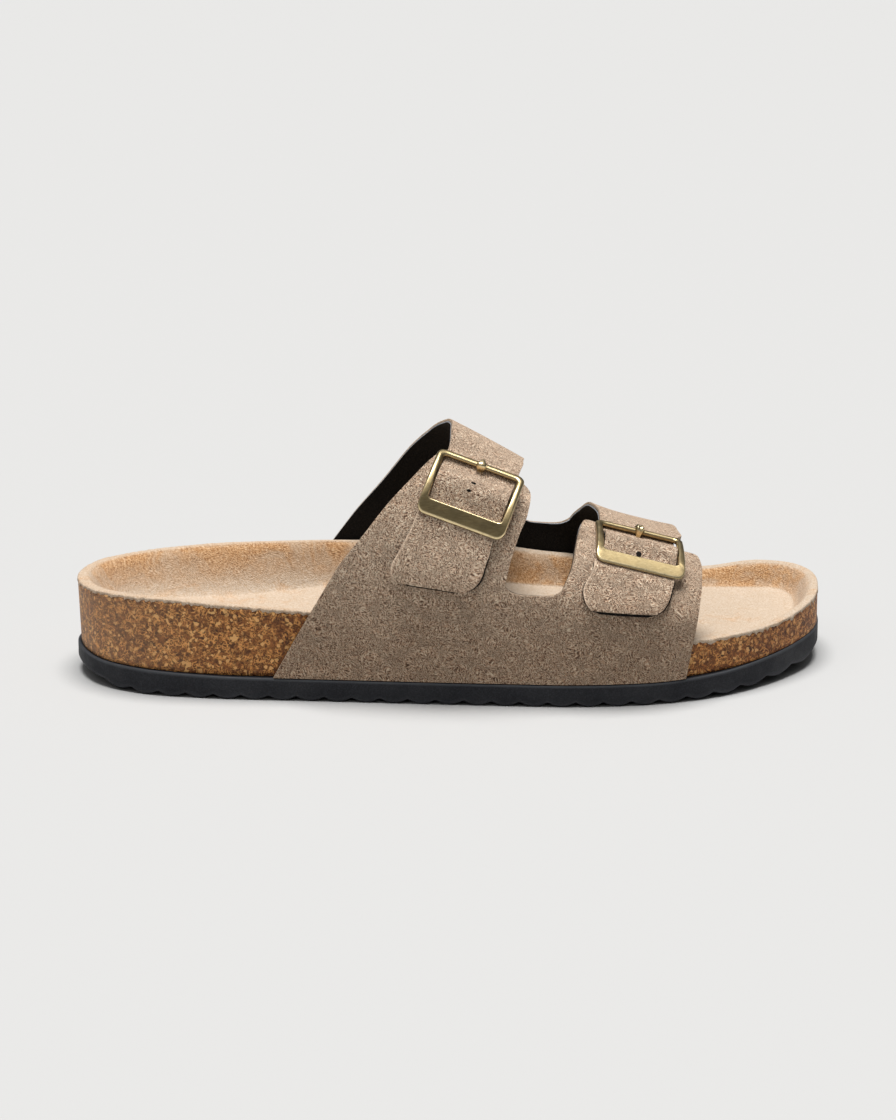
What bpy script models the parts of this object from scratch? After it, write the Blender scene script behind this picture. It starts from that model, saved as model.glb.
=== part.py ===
# Two-strap footbed sandal for the right foot, standing empty on its sole, toe towards +X.
# Sizes and tables are in millimetres: along from the heel's back, across from lateral (-) to medial (+).
import math
from collections import namedtuple
from functools import lru_cache

import bmesh
import bpy
import numpy as np
from mathutils import Matrix, Vector

MM = 0.001

# Driving sizes
LENGTH = 282.5  # cork footbed, heel to toe
BALL_WIDTH = 100.0  # cork footbed, across the ball
HEEL_BACK = 1.0  # the footbed's back, inside the outsole's lip
GAP = 0.3  # clearance between pieces that meet
UPPER_WALL = 2.2  # suede with its lining
LINING_WALL = 1.2  # suede cover of the footbed

# Cork outline from the heel round the lateral side, in percent of length and of ball width
Plan = namedtuple("Plan", "along across")
OUTLINE = [
    Plan(0.0, 0.0),
    Plan(2.5, -21.5),
    Plan(8.8, -34.5),
    Plan(18.1, -40.0),
    Plan(30.8, -42.5),
    Plan(43.5, -45.6),
    Plan(56.3, -48.5),
    Plan(66.9, -50.0),
    Plan(77.2, -46.5),
    Plan(86.4, -36.5),
    Plan(94.0, -19.0),
    Plan(98.8, 1.0),
    Plan(100.0, 17.0),
    Plan(99.4, 35.0),
    Plan(96.7, 45.8),
    Plan(90.5, 50.0),
    Plan(82.1, 51.0),
    Plan(72.2, 49.5),
    Plan(62.7, 44.0),
    Plan(52.0, 36.5),
    Plan(40.7, 32.5),
    Plan(29.4, 33.0),
    Plan(18.1, 35.0),
    Plan(8.8, 31.5),
    Plan(2.5, 20.5),
]
OUTLINE_SAMPLES = 24  # per row of the outline
STATIONS = 36  # along each side of a sole ring

# Heights of the sole: tread plane with toe spring, outsole's top, footbed's two rims.
# The lip is the outsole's overhang.
Level = namedtuple("Level", "along under seam lateral_rim medial_rim lip")
LEVELS = [
    Level(0.0, 3.6, 11.4, 36.4, 36.4, 1.3),
    Level(12.0, 1.4, 10.2, 37.4, 36.6, 1.3),
    Level(30.0, 0.0, 9.6, 37.8, 37.5, 1.4),
    Level(60.0, 0.0, 8.7, 36.1, 39.5, 2.0),
    Level(100.0, 0.0, 8.4, 33.6, 41.0, 2.6),
    Level(140.0, 0.0, 8.4, 30.4, 40.5, 2.6),
    Level(180.0, 0.0, 8.4, 26.5, 33.0, 2.6),
    Level(215.0, 0.0, 8.4, 24.2, 27.8, 2.6),
    Level(240.0, 0.6, 9.4, 22.9, 25.1, 2.0),
    Level(264.0, 2.1, 11.4, 23.3, 28.2, 0.8),
    Level(285.0, 4.7, 14.2, 24.4, 28.2, 0.4),
]
RIM_TURN = 25.0  # half width over which the lateral rim turns into the medial one

# Foot surface of the footbed: heel cup, arch hump, pad behind the ball, toe bowl
Floor = namedtuple("Floor", "along lateral middle medial")
FLOORS = [
    Floor(10.0, 24.0, 22.5, 24.0),
    Floor(45.0, 22.5, 20.5, 23.5),
    Floor(80.0, 22.5, 21.0, 26.0),
    Floor(115.0, 22.0, 22.0, 29.0),
    Floor(150.0, 20.5, 22.5, 26.0),
    Floor(180.0, 18.5, 20.5, 21.0),
    Floor(205.0, 17.5, 18.5, 18.5),
    Floor(235.0, 17.5, 18.0, 19.0),
    Floor(268.0, 18.5, 19.0, 19.5),
]

# Footbed profile from its edge inwards: distance in, and share of the climb from floor to rim
Profile = namedtuple("Profile", "inset rise drop")
FOOTBED_PROFILE = [
    Profile(0.0, 1.0, 0.8),
    Profile(1.4, 1.0, 0.0),
    Profile(4.2, 1.0, 0.2),
    Profile(6.6, 0.76, 0.0),
    Profile(10.0, 0.3, 0.0),
    Profile(15.0, 0.0, 0.0),
]
TOE_WALL = 0.72  # the footbed's wall is this much steeper round the toe, over these places along
TOE_WALL_FROM = 190.0
TOE_WALL_FULL = 255.0
ARCH_WALL = 0.65  # and this much along the arch, on the medial side
ARCH_WALL_FROM = 50.0
ARCH_WALL_FULL = 100.0
ARCH_WALL_TURN = 8.0
SPINE_HEEL = 36.0  # ends of the middle line on which every ring closes
SPINE_TOE = 246.0
HALFWAY = 0.5  # extra ring between the profile's last one and the spine

# Outsole edge from the tread up: distance in from the lip, height over the tread plane or under the seam
TREAD_BEVEL = 1.8
TREAD_BEVEL_RISE = 1.6
LIP_BEVEL = 0.4
GROOVE_FIRST = 22.0
GROOVE_PITCH = 10.4
GROOVE_COUNT = 25
GROOVE_RADIUS = 2.4
GROOVE_DEPTH = 1.8
GROOVE_SIDES = 12
GROOVE_REACH = 140.0
HEEL_FLARE = 0.9  # the cork leans out this far at the heel's rim
HEEL_FLARE_END = 70.0

# Instep of the last: crest of the strap's inside, its place across, where each side wall springs into
# the arch, and the arch's roundness as the exponent of a superellipse
Instep = namedtuple("Instep", "along crest across lateral_spring medial_spring roundness")
INSTEPS = [
    Instep(60.0, 126.0, 0.0, 44.0, 50.0, 2.25),
    Instep(100.0, 113.0, 0.0, 44.0, 49.0, 2.25),
    Instep(140.0, 94.6, -1.0, 43.0, 47.0, 2.25),
    Instep(170.0, 77.5, -2.0, 38.0, 42.0, 2.2),
    Instep(195.0, 59.7, -2.0, 32.0, 36.0, 2.0),
    Instep(228.0, 46.0, 2.0, 26.5, 31.0, 2.7),
    Instep(252.0, 41.6, 6.0, 25.5, 29.0, 2.75),
]
ARCH_POINTS = 40
STEP_ALONG = 1.0  # small steps on the last's surface for its normal
STEP_SHARE = 0.01

# Panels of the upper on the last. A share is the part of the half girth covered from the lateral
# sole edge: 0 there, 1 on the crest, 2 at the medial sole edge. Run is the way along the panel.
Panel = namedtuple("Panel", "run back back_share front front_share")
REAR_TAB = [
    Panel(0.0, 101.0, 0.35, 162.0, 0.36),
    Panel(12.0, 110.0, 0.45, 164.0, 0.45),
    Panel(23.0, 118.5, 0.55, 166.8, 0.55),
    Panel(34.0, 127.5, 0.65, 169.8, 0.65),
    Panel(45.0, 135.5, 0.75, 170.8, 0.75),
    Panel(51.0, 140.0, 0.805, 170.5, 0.81),
]
FRONT_TAB = [
    Panel(0.0, 183.0, 0.39, 235.0, 0.45),
    Panel(10.0, 186.5, 0.50, 235.6, 0.55),
    Panel(20.0, 188.0, 0.62, 236.0, 0.66),
    Panel(30.0, 189.5, 0.74, 235.6, 0.76),
    Panel(41.0, 191.5, 0.87, 234.3, 0.865),
]
REAR_STRAP = [
    Panel(0.0, 116.4, 0.32, 153.0, 0.315),
    Panel(14.0, 123.7, 0.43, 155.6, 0.43),
    Panel(28.0, 130.0, 0.545, 159.5, 0.53),
    Panel(41.0, 134.9, 0.655, 163.6, 0.645),
    Panel(54.0, 138.5, 0.765, 166.8, 0.77),
    Panel(66.0, 140.3, 0.88, 167.4, 0.89),
    Panel(79.0, 141.4, 1.0, 168.0, 1.0),
    Panel(95.0, 140.0, 1.13, 169.0, 1.15),
    Panel(112.0, 134.6, 1.25, 168.5, 1.29),
    Panel(128.0, 126.1, 1.37, 168.0, 1.41),
    Panel(144.0, 116.6, 1.50, 168.0, 1.52),
    Panel(159.0, 105.2, 1.63, 169.0, 1.60),
]
FRONT_STRAP = [
    Panel(0.0, 187.2, 0.325, 223.5, 0.315),
    Panel(9.0, 190.2, 0.43, 223.3, 0.43),
    Panel(17.0, 193.6, 0.52, 224.7, 0.53),
    Panel(30.5, 196.3, 0.66, 226.3, 0.70),
    Panel(43.0, 197.5, 0.80, 228.4, 0.88),
    Panel(52.0, 197.5, 0.90, 229.2, 0.98),
    Panel(62.0, 196.8, 1.02, 229.6, 1.08),
    Panel(75.0, 196.0, 1.15, 229.3, 1.20),
    Panel(90.0, 194.8, 1.31, 228.9, 1.34),
    Panel(104.0, 192.5, 1.48, 227.9, 1.46),
    Panel(114.0, 188.5, 1.59, 227.4, 1.55),
]
TAB_CORNER = 5.0
STRAP_CORNER = 9.5
CORNER_STEPS = (0.0, 0.08, 0.3, 0.62, 1.0)  # shares of a rounded corner's radius
BAND_ROWS = 6
TAB_ROWS = 7
NOTCH_COLUMNS = 5
NOTCH_DIP = 0.028  # how far a U notch rounds down between two panels, as a share
LATERAL_FOOT = (76.0, 229.0)  # quarter's ends along the sole
MEDIAL_FOOT = (75.0, 229.0)
REAR_COLUMNS = 8
FRONT_COLUMNS = 7
STRAP_COLUMNS = 6

# How a strap rides over its tab: over the wall, joined under both bars, arched over the centre bar
JOIN_LIFT = 1.7
TUNNEL_LIFT = 5.2
TUNNEL_HALF = 9.0
TUNNEL_MIDDLE = -1.0
TIP_LIFT = 3.3
LEVEL_HALF = 15.5  # within this of the buckle's middle the strap lies level in its frame
LEVEL_FADE = 8.0  # towards its tip
TAUT_SPAN = 19.0  # over this way above the buckle it draws taut to the last
LEVEL_ROWS = 17
LEVEL_WIDTH = 28.0  # strap between the frame's side bars
FLARE_FROM = 8.5  # under the keeper its back edge spreads by the ride's flare
FLARE_SPAN = 5.0
LOOSE_ROW = 6.5  # way between rows elsewhere
# The bars of a buckle fall and turn towards the toe, in degrees; it may stand off its tab a little more
Ride = namedtuple("Ride", "panel buckle_run tab_end crest_down bar_fall bar_turn stand_off flare")
REAR_RIDE = Ride(REAR_STRAP, 40.3, 62.0, 94.0, 18.8, -7.5, 0.75, 2.2)
FRONT_RIDE = Ride(FRONT_STRAP, 29.8, 53.0, 86.0, 14.8, 3.1, 1.1, 3.3)

# Buckle, across the strap by along the strap
FRAME_LONG = 34.2
FRAME_HIGH = 28.5
FRAME_CORNER = 2.6
SIDE_BAR = 2.7
TOP_BAR = 3.0
KEEPER_BAR = 5.2
WINDOW_CORNER = 1.4
FRAME_LIFT = 4.3
FRAME_THICK = 2.4
FRAME_EDGE = 0.5
CENTRE_BAR = 1.8
CENTRE_BAR_LIFT = 4.0
CENTRE_BAR_SIDES = 10
SEAT_INSET = 1.0  # the seat is laid out this far inside the frame's ends
CORNER_POINTS = 4
BEND_CUTS = 5

# Prong from its hook over the top bar, through the strap, to its end in the tunnel
Hook = namedtuple("Hook", "along lift half_width half_thick")
PRONG = [
    Hook(-15.45, 5.2, 1.2, 0.6),
    Hook(-15.3, 6.6, 1.6, 0.7),
    Hook(-14.0, 7.85, 1.7, 0.75),
    Hook(-11.5, 7.85, 1.7, 0.75),
    Hook(-10.2, 6.5, 1.5, 0.7),
    Hook(-9.8, 5.1, 1.2, 0.7),
    Hook(-8.8, 3.8, 1.1, 0.6),
    Hook(-7.0, 3.4, 1.0, 0.55),
    Hook(-4.9, 3.35, 0.7, 0.5),
]
PRONG_SIDES = 8
HOLE_CLEAR = 0.35


# Colour, roughness and metalness of each material
MATERIALS = {
    "eva_black": ((0.012, 0.013, 0.016), 0.75, 0.0),
    "cork": ((0.36, 0.17, 0.07), 0.8, 0.0),
    "footbed_suede": ((0.55, 0.43, 0.31), 0.9, 0.0),
    "upper_suede": ((0.17, 0.125, 0.1), 0.9, 0.0),
    "brass": ((0.55, 0.38, 0.16), 0.35, 1.0),
}


def smooth(rows, column, at):
    # A column's value between rows, on a cubic that never overshoots them.
    place = np.array([row[0] for row in rows])
    value = np.array([getattr(row, column) for row in rows])
    step = np.diff(place)
    slope = np.diff(value) / step
    tangent = np.zeros(len(place))
    tangent[0] = slope[0]
    tangent[-1] = slope[-1]
    for k in range(1, len(place) - 1):
        if slope[k - 1] * slope[k] > 0:
            tangent[k] = 2 / (1 / slope[k - 1] + 1 / slope[k])
    at = np.clip(at, place[0], place[-1])
    k = np.clip(np.searchsorted(place, at) - 1, 0, len(step) - 1)
    f = (at - place[k]) / step[k]
    near = value[k] * (1 + 2 * f) * (1 - f) ** 2 + tangent[k] * step[k] * f * (1 - f) ** 2
    far = value[k + 1] * f * f * (3 - 2 * f) - tangent[k + 1] * step[k] * f * f * (1 - f)
    return near + far


def ease(share):
    share = np.clip(share, 0.0, 1.0)
    return share * share * (3 - 2 * share)


def outline_points():
    # Closed spline through the outline's rows, its tangents weighed by the root of each chord.
    rows = [(HEEL_BACK + row.along / 100 * LENGTH, row.across / 100 * BALL_WIDTH) for row in OUTLINE]
    rows = np.array(rows)
    count = len(rows)
    chord = np.linalg.norm(np.roll(rows, -1, 0) - rows, axis=1) ** 0.5
    points = []
    for k in range(count):
        before, here = rows[k - 1], rows[k]
        there, after = rows[(k + 1) % count], rows[(k + 2) % count]
        d0, d1, d2 = chord[k - 1], chord[k], chord[(k + 1) % count]
        leave = (there - here) / d1 - (there - before) / (d0 + d1) + (here - before) / d0
        reach = (after - there) / d2 - (after - here) / (d1 + d2) + (there - here) / d1
        for f in np.linspace(0, 1, OUTLINE_SAMPLES, endpoint=False):
            start = here * (1 + 2 * f) * (1 - f) ** 2 + leave * d1 * f * (1 - f) ** 2
            points.append(start + there * f * f * (3 - 2 * f) - reach * d1 * f * f * (1 - f))
    return np.array(points)


DENSE_OUTLINE = outline_points()


@lru_cache(maxsize=None)
def sides(out):
    # The outline grown by out, as its lateral and its medial side, each from heel to toe.
    ahead = np.roll(DENSE_OUTLINE, -1, 0) - np.roll(DENSE_OUTLINE, 1, 0)
    normal = np.stack([ahead[:, 1], -ahead[:, 0]], 1)
    normal /= np.linalg.norm(normal, axis=1)[:, None]
    grown = DENSE_OUTLINE + normal * out
    grown = np.roll(grown, -int(np.argmin(grown[:, 0])), 0)
    toe = int(np.argmax(grown[:, 0]))
    lateral = grown[: toe + 1]
    medial = np.vstack([grown[toe:], grown[:1]])[::-1]
    return lateral, medial


def edge(along, side, out):
    line = sides(out)[0 if side == "lateral" else 1]
    return np.interp(along, line[:, 0], line[:, 1])


@lru_cache(maxsize=None)
def plan_ring(out):
    # Points round the grown outline: lateral side from heel to toe, then the medial side back.
    lateral, medial = sides(out)
    turn = np.linspace(0, math.pi, STATIONS + 1)
    along = lateral[0, 0] + (lateral[-1, 0] - lateral[0, 0]) * (1 - np.cos(turn)) / 2
    there = np.stack([along, np.interp(along, lateral[:, 0], lateral[:, 1])], 1)
    back = np.stack([along, np.interp(along, medial[:, 0], medial[:, 1])], 1)
    back = back[1:-1][::-1]
    return np.vstack([there, back])


def spine_ring():
    turn = np.linspace(0, math.pi, STATIONS + 1)
    along = SPINE_HEEL + (SPINE_TOE - SPINE_HEEL) * (1 - np.cos(turn)) / 2
    across = (edge(along, "lateral", 0.0) + edge(along, "medial", 0.0)) / 2
    there = np.stack([along, across], 1)
    return np.vstack([there, there[1:-1][::-1]])


def between(first, second, share):
    return first + (second - first) * np.reshape(share, (-1, 1))


def lip_ring(inset):
    # The outsole's edge: the outline grown by the lip's own width at each place.
    base = plan_ring(0.0)
    return between(base, plan_ring(1.0), smooth(LEVELS, "lip", base[:, 0]) - inset)


def flare_ring(share):
    base = plan_ring(0.0)
    lean = ease(1 - base[:, 0] / HEEL_FLARE_END)
    return between(base, plan_ring(HEEL_FLARE), share * lean)


def at_height(plan, height):
    return np.column_stack([plan, np.broadcast_to(height, len(plan))])


def rim_height(plan):
    turn = ease((plan[:, 1] + RIM_TURN) / (2 * RIM_TURN))
    lateral = smooth(LEVELS, "lateral_rim", plan[:, 0])
    return lateral + (smooth(LEVELS, "medial_rim", plan[:, 0]) - lateral) * turn


def floor_height(plan):
    along, across = plan[:, 0], plan[:, 1]
    low, high = edge(along, "lateral", 0.0), edge(along, "medial", 0.0)
    share = np.clip((2 * across - low - high) / np.maximum(high - low, 1.0), -1, 1)
    lateral, middle, medial = (smooth(FLOORS, name, along) for name in ("lateral", "middle", "medial"))
    return middle + (medial - lateral) / 2 * share + ((medial + lateral) / 2 - middle) * share**2


def wall_ring(inset):
    wide = plan_ring(-inset)
    steep = ease((wide[:, 0] - TOE_WALL_FROM) / (TOE_WALL_FULL - TOE_WALL_FROM))
    arch = ease((wide[:, 0] - ARCH_WALL_FROM) / (ARCH_WALL_FULL - ARCH_WALL_FROM)) * (1 - steep)
    arch = arch * ease((wide[:, 1] + ARCH_WALL_TURN) / (2 * ARCH_WALL_TURN))
    turned = between(wide, plan_ring(-inset * ARCH_WALL), arch)
    return between(turned, plan_ring(-inset * TOE_WALL), steep)


def footbed_rings(depth):
    # Rings of the foot surface from the edge to the spine, sunk by depth.
    rings = []
    for row in FOOTBED_PROFILE:
        plan = flare_ring(1.0) if row.inset == 0 else wall_ring(row.inset)
        low = floor_height(plan)
        height = low + (rim_height(plan) - low) * row.rise - row.drop
        rings.append(at_height(plan, height - depth))
    last = wall_ring(FOOTBED_PROFILE[-1].inset)
    for share in (HALFWAY, 1.0):
        plan = between(last, spine_ring(), share)
        rings.append(at_height(plan, floor_height(plan) - depth))
    return rings


def level_rings(plan, column, raised):
    # Rings of a face that follows one column of the levels, from the plan ring in to the spine.
    rings = []
    for ring in (plan, spine_ring()):
        rings.append(at_height(ring, smooth(LEVELS, column, ring[:, 0]) + raised))
    return rings


def add_object(name, bm, material, collection):
    bmesh.ops.remove_doubles(bm, verts=bm.verts, dist=1e-6)
    mesh = bpy.data.meshes.new(name)
    bm.to_mesh(mesh)
    bm.free()
    obj = bpy.data.objects.new(name, mesh)
    collection.objects.link(obj)
    if material:
        mesh.materials.append(material)
    else:
        obj.hide_render = True
        obj.display_type = "WIRE"
    return obj


def loft(name, rings, material, collection, capped=False):
    # Skin over rings of equal count; it closes on its first and last ring, or is capped there.
    bm = bmesh.new()
    rows = [[bm.verts.new(Vector(point) * MM) for point in ring] for ring in rings]
    for first, second in zip(rows, rows[1:]):
        for k in range(len(first)):
            j = (k + 1) % len(first)
            bm.faces.new((first[k], first[j], second[j], second[k]))
    if capped:
        bm.faces.new(rows[0])
        bm.faces.new(rows[-1])
    bmesh.ops.remove_doubles(bm, verts=bm.verts, dist=1e-6)
    bmesh.ops.dissolve_degenerate(bm, edges=bm.edges, dist=1e-6)
    bmesh.ops.triangulate(bm, faces=bm.faces, quad_method="SHORT_EDGE")
    bmesh.ops.recalc_face_normals(bm, faces=bm.faces)
    return add_object(name, bm, material, collection)


def cut(obj, operand, operation="DIFFERENCE"):
    modifier = obj.modifiers.new(operand.name, "BOOLEAN")
    modifier.operation = operation
    modifier.solver = "EXACT"
    modifier.object = operand


def groove_cutter(collection):
    bm = bmesh.new()
    for k in range(GROOVE_COUNT):
        along = GROOVE_FIRST + k * GROOVE_PITCH
        height = smooth(LEVELS, "under", along) + GROOVE_DEPTH - GROOVE_RADIUS
        place = Matrix.Translation(Vector((along, 0, height)) * MM) @ Matrix.Rotation(math.pi / 2, 4, "X")
        bmesh.ops.create_cone(
            bm,
            cap_ends=True,
            segments=GROOVE_SIDES,
            radius1=GROOVE_RADIUS * MM,
            radius2=GROOVE_RADIUS * MM,
            depth=GROOVE_REACH * MM,
            matrix=place,
        )
    return add_object("tread_grooves", bm, None, collection)


def build_outsole(material, collection, cutters):
    tread = lip_ring(TREAD_BEVEL)
    wall_low = lip_ring(0.0)
    under = smooth(LEVELS, "under", wall_low[:, 0])
    seam = smooth(LEVELS, "seam", wall_low[:, 0])
    rings = level_rings(tread, "under", 0.0)[::-1]
    rings.append(at_height(wall_low, under + TREAD_BEVEL_RISE))
    rings.append(at_height(wall_low, seam - LIP_BEVEL))
    rings += level_rings(lip_ring(LIP_BEVEL), "seam", 0.0)
    outsole = loft("outsole", rings, material, collection)
    cut(outsole, groove_cutter(cutters))


def build_cork(material, collection):
    foot = plan_ring(0.0)
    rings = level_rings(foot, "seam", GAP)[::-1] + footbed_rings(LINING_WALL + GAP)
    loft("footbed_cork", rings, material, collection)


def build_lining(material, collection):
    rings = footbed_rings(LINING_WALL)[::-1] + footbed_rings(0.0)
    loft("footbed_lining", rings, material, collection)


@lru_cache(maxsize=None)
def half_section(along, side):
    # Inside of the upper across one half of the last, from the sole's edge to the crest, and its girth.
    wall = edge(along, side, GAP)
    foot = smooth(LEVELS, "seam", along) + GAP
    crest = smooth(INSTEPS, "crest", along)
    middle = smooth(INSTEPS, "across", along)
    spring = smooth(INSTEPS, side + "_spring", along)
    power = 2 / smooth(INSTEPS, "roundness", along)
    turn = np.linspace(0, math.pi / 2, ARCH_POINTS)
    across = middle + (wall - middle) * np.abs(np.cos(turn)) ** power
    height = spring + (crest - spring) * np.sin(turn) ** power
    across = np.concatenate([[wall], across])
    height = np.concatenate([[foot], height])
    girth = np.concatenate([[0], np.cumsum(np.hypot(np.diff(across), np.diff(height)))])
    return across, height, girth


def skin(along, share):
    along = round(float(along), 3)
    across, height, girth = half_section(along, "lateral" if share <= 1 else "medial")
    reach = (share if share <= 1 else 2 - share) * girth[-1]
    return np.array([along, np.interp(reach, girth, across), np.interp(reach, girth, height)])


def skin_normal(along, share):
    # Outward, from small steps towards the toe and over the girth.
    ahead = skin(along + STEP_ALONG, share) - skin(along - STEP_ALONG, share)
    over = skin(along, min(share + STEP_SHARE, 2.0)) - skin(along, max(share - STEP_SHARE, 0.0))
    normal = np.cross(ahead, over)
    return normal / np.linalg.norm(normal)


def panel_row(panel, run, columns, corner, end):
    # Places along and shares across a panel at one run; near its end the corners are rounded off.
    back = (smooth(panel, "back", run), smooth(panel, "back_share", run))
    front = (smooth(panel, "front", run), smooth(panel, "front_share", run))
    near = max(0.0, 1 - abs(run - end) / corner) if corner else 0.0
    pull = corner * (1 - math.sqrt(1 - near**2)) if corner else 0.0
    pull /= max(front[0] - back[0], 1.0)
    share = np.linspace(pull, 1 - pull, columns + 1)
    return [(back[0] + (front[0] - back[0]) * f, back[1] + (front[1] - back[1]) * f) for f in share]


def add_patch(bm, rows):
    # Quads over rows of points, facing outward where rows climb from lateral to medial.
    grid = [[bm.verts.new(Vector(point) * MM) for point in row] for row in rows]
    for low, high in zip(grid, grid[1:]):
        for k in range(len(low) - 1):
            bm.faces.new((low[k], low[k + 1], high[k + 1], high[k]))


def on_skin(row, lift=0.0):
    return [skin(*place) + skin_normal(*place) * lift for place in row]


def band_rows(top, ends, foot_share):
    # Lower band of a quarter: from the row that closes both panels and the notch down to the sole.
    first, last = top[0][0], top[-1][0]
    rows = []
    for k in range(BAND_ROWS + 1):
        climb = k / BAND_ROWS
        row = []
        for along, share in top:
            foot = ends[0] + (ends[1] - ends[0]) * (along - first) / (last - first)
            row.append((foot + (along - foot) * climb, foot_share + (share - foot_share) * climb))
        rows.append(row)
    return rows


def notch_row(left, right, dip):
    row = []
    for k in range(1, NOTCH_COLUMNS):
        f = k / NOTCH_COLUMNS
        round_down = 1 - (2 * f - 1) ** 4
        along = left[0] + (right[0] - left[0]) * f
        row.append((along, left[1] + (right[1] - left[1]) * f + dip * round_down))
    return row


def tab_runs(panel):
    # Rows of a tab: even ones, and closer ones over its rounded end.
    end = panel[-1].run
    even = list(np.linspace(0, end - TAB_CORNER, TAB_ROWS))
    return even + [end - TAB_CORNER * step for step in CORNER_STEPS[-2::-1]]


def build_quarter(material, collection):
    bm = bmesh.new()
    tabs = []
    for panel, columns in ((REAR_TAB, REAR_COLUMNS), (FRONT_TAB, FRONT_COLUMNS)):
        end = panel[-1].run
        tabs.append([panel_row(panel, run, columns, TAB_CORNER, end) for run in tab_runs(panel)])
    rear, front = tabs
    top = rear[0] + notch_row(rear[0][-1], front[0][0], -NOTCH_DIP) + front[0]
    for rows in (rear, front, band_rows(top, LATERAL_FOOT, 0.0)):
        add_patch(bm, [on_skin(row) for row in rows])
    quarter = add_object("upper", bm, material, collection)
    thicken(quarter)
    return quarter


def thicken(obj):
    wall = obj.modifiers.new("wall", "SOLIDIFY")
    wall.thickness = UPPER_WALL * MM
    wall.offset = 1.0
    wall.use_even_offset = True
    wall.use_quality_normals = True


class BuckleSeat:
    # Level frame of a buckle on its strap: across the strap, along it towards its tip, and outward.
    def __init__(self, ride):
        reach = FRAME_HIGH / 2 - SEAT_INSET
        rows = [panel_row(ride.panel, ride.buckle_run + step, 2, 0.0, 0.0) for step in (reach, 0.0, -reach)]
        high, centre, low = (skin(*row[1]) for row in rows)
        fall, turn = math.radians(ride.bar_fall), math.radians(ride.bar_turn)
        level = np.array([math.cos(turn), math.sin(turn), 0.0])
        self.across = level * math.cos(fall) - np.array([0.0, 0.0, math.sin(fall)])
        along = low - high - self.across * np.dot(low - high, self.across)
        self.along = along / np.linalg.norm(along)
        self.out = np.cross(self.along, self.across)
        sag = -np.dot((high + low) / 2 - centre, self.out)
        self.bend = sag / (np.linalg.norm(low - high) / 2) ** 2
        self.origin = centre + self.out * ride.stand_off

    def place(self, across, along, lift):
        lift = lift - self.bend * along**2
        return self.origin + self.across * across + self.along * along + self.out * lift


def level_lift(along):
    share = (along - TUNNEL_MIDDLE) / TUNNEL_HALF
    if abs(share) >= 1:
        return JOIN_LIFT
    return JOIN_LIFT + (TUNNEL_LIFT - JOIN_LIFT) * math.cos(share * math.pi / 2) ** 2


def loose_point(ride, run, column):
    # A strap leaves the last at the crest, rides over the tab and lifts at its tip.
    place = panel_row(ride.panel, run, STRAP_COLUMNS, STRAP_CORNER, 0.0)[column]
    climb = float(ease((ride.crest_down - run) / (ride.crest_down - ride.tab_end)))
    tip = float(ease(1 - run / (ride.buckle_run - LEVEL_HALF)))
    lift = JOIN_LIFT * climb + (TIP_LIFT - JOIN_LIFT) * tip
    return skin(*place) + skin_normal(*place) * lift


def strap_point(ride, seat, run, column):
    # Inside its buckle a strap lies level; above it the strap draws taut to the crest.
    width = (2 * column / STRAP_COLUMNS - 1) * LEVEL_WIDTH / 2

    def level_point(at):
        along = ride.buckle_run - at
        spread = ride.flare * (1 - column / STRAP_COLUMNS) * float(ease((along - FLARE_FROM) / FLARE_SPAN))
        return seat.place(width - spread, along, level_lift(along))

    top = ride.buckle_run + LEVEL_HALF
    far = top + TAUT_SPAN
    if top < run < far:
        f = (run - top) / TAUT_SPAN
        leave = (level_point(top + STEP_ALONG) - level_point(top - STEP_ALONG)) / (2 * STEP_ALONG)
        reach = loose_point(ride, far + STEP_ALONG, column) - loose_point(ride, far - STEP_ALONG, column)
        reach /= 2 * STEP_ALONG
        near = level_point(top) * (1 + 2 * f) * (1 - f) ** 2 + leave * TAUT_SPAN * f * (1 - f) ** 2
        end = loose_point(ride, far, column)
        return near + end * f * f * (3 - 2 * f) - reach * TAUT_SPAN * f * f * (1 - f)
    loose = loose_point(ride, run, column)
    level = float(ease((LEVEL_HALF + LEVEL_FADE + run - ride.buckle_run) / LEVEL_FADE)) if run <= top else 0.0
    return loose + (level_point(run) - loose) * level


def strap_runs(ride):
    # Rows of a strap: close over its rounded tip and inside its buckle, loose elsewhere.
    low, high = ride.buckle_run - LEVEL_HALF, ride.buckle_run + LEVEL_HALF
    reach = ride.panel[-1].run
    runs = [STRAP_CORNER * step for step in CORNER_STEPS]
    runs += list(np.linspace(STRAP_CORNER, low, 1 + math.ceil((low - STRAP_CORNER) / LOOSE_ROW))[1:])
    runs += list(np.linspace(low, high, LEVEL_ROWS)[1:])
    return runs + list(np.linspace(high, reach, 1 + math.ceil((reach - high) / LOOSE_ROW))[1:])


def build_straps(seats, collection):
    bm = bmesh.new()
    ends = []
    for ride, seat in zip((REAR_RIDE, FRONT_RIDE), seats):
        patch = []
        for run in strap_runs(ride):
            patch.append([strap_point(ride, seat, run, column) for column in range(STRAP_COLUMNS + 1)])
        add_patch(bm, patch)
        ends.append(panel_row(ride.panel, ride.panel[-1].run, STRAP_COLUMNS, STRAP_CORNER, 0.0))
    top = ends[0] + notch_row(ends[0][-1], ends[1][0], NOTCH_DIP) + ends[1]
    add_patch(bm, [on_skin(row) for row in band_rows(top, MEDIAL_FOOT, 2.0)[::-1]])
    straps = add_object("straps", bm, None, collection)
    thicken(straps)
    return straps


def rounded_box(half_long, low, high, corner):
    points = []
    for x, y, start in (
        (half_long, high, 0.0),
        (-half_long, high, 90.0),
        (-half_long, low, 180.0),
        (half_long, low, 270.0),
    ):
        centre_x = x - math.copysign(corner, x)
        centre_y = y - (corner if y == high else -corner)
        for k in range(CORNER_POINTS):
            turn = math.radians(start + 90.0 * k / (CORNER_POINTS - 1))
            points.append((centre_x + corner * math.cos(turn), centre_y + corner * math.sin(turn)))
    return points


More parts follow.
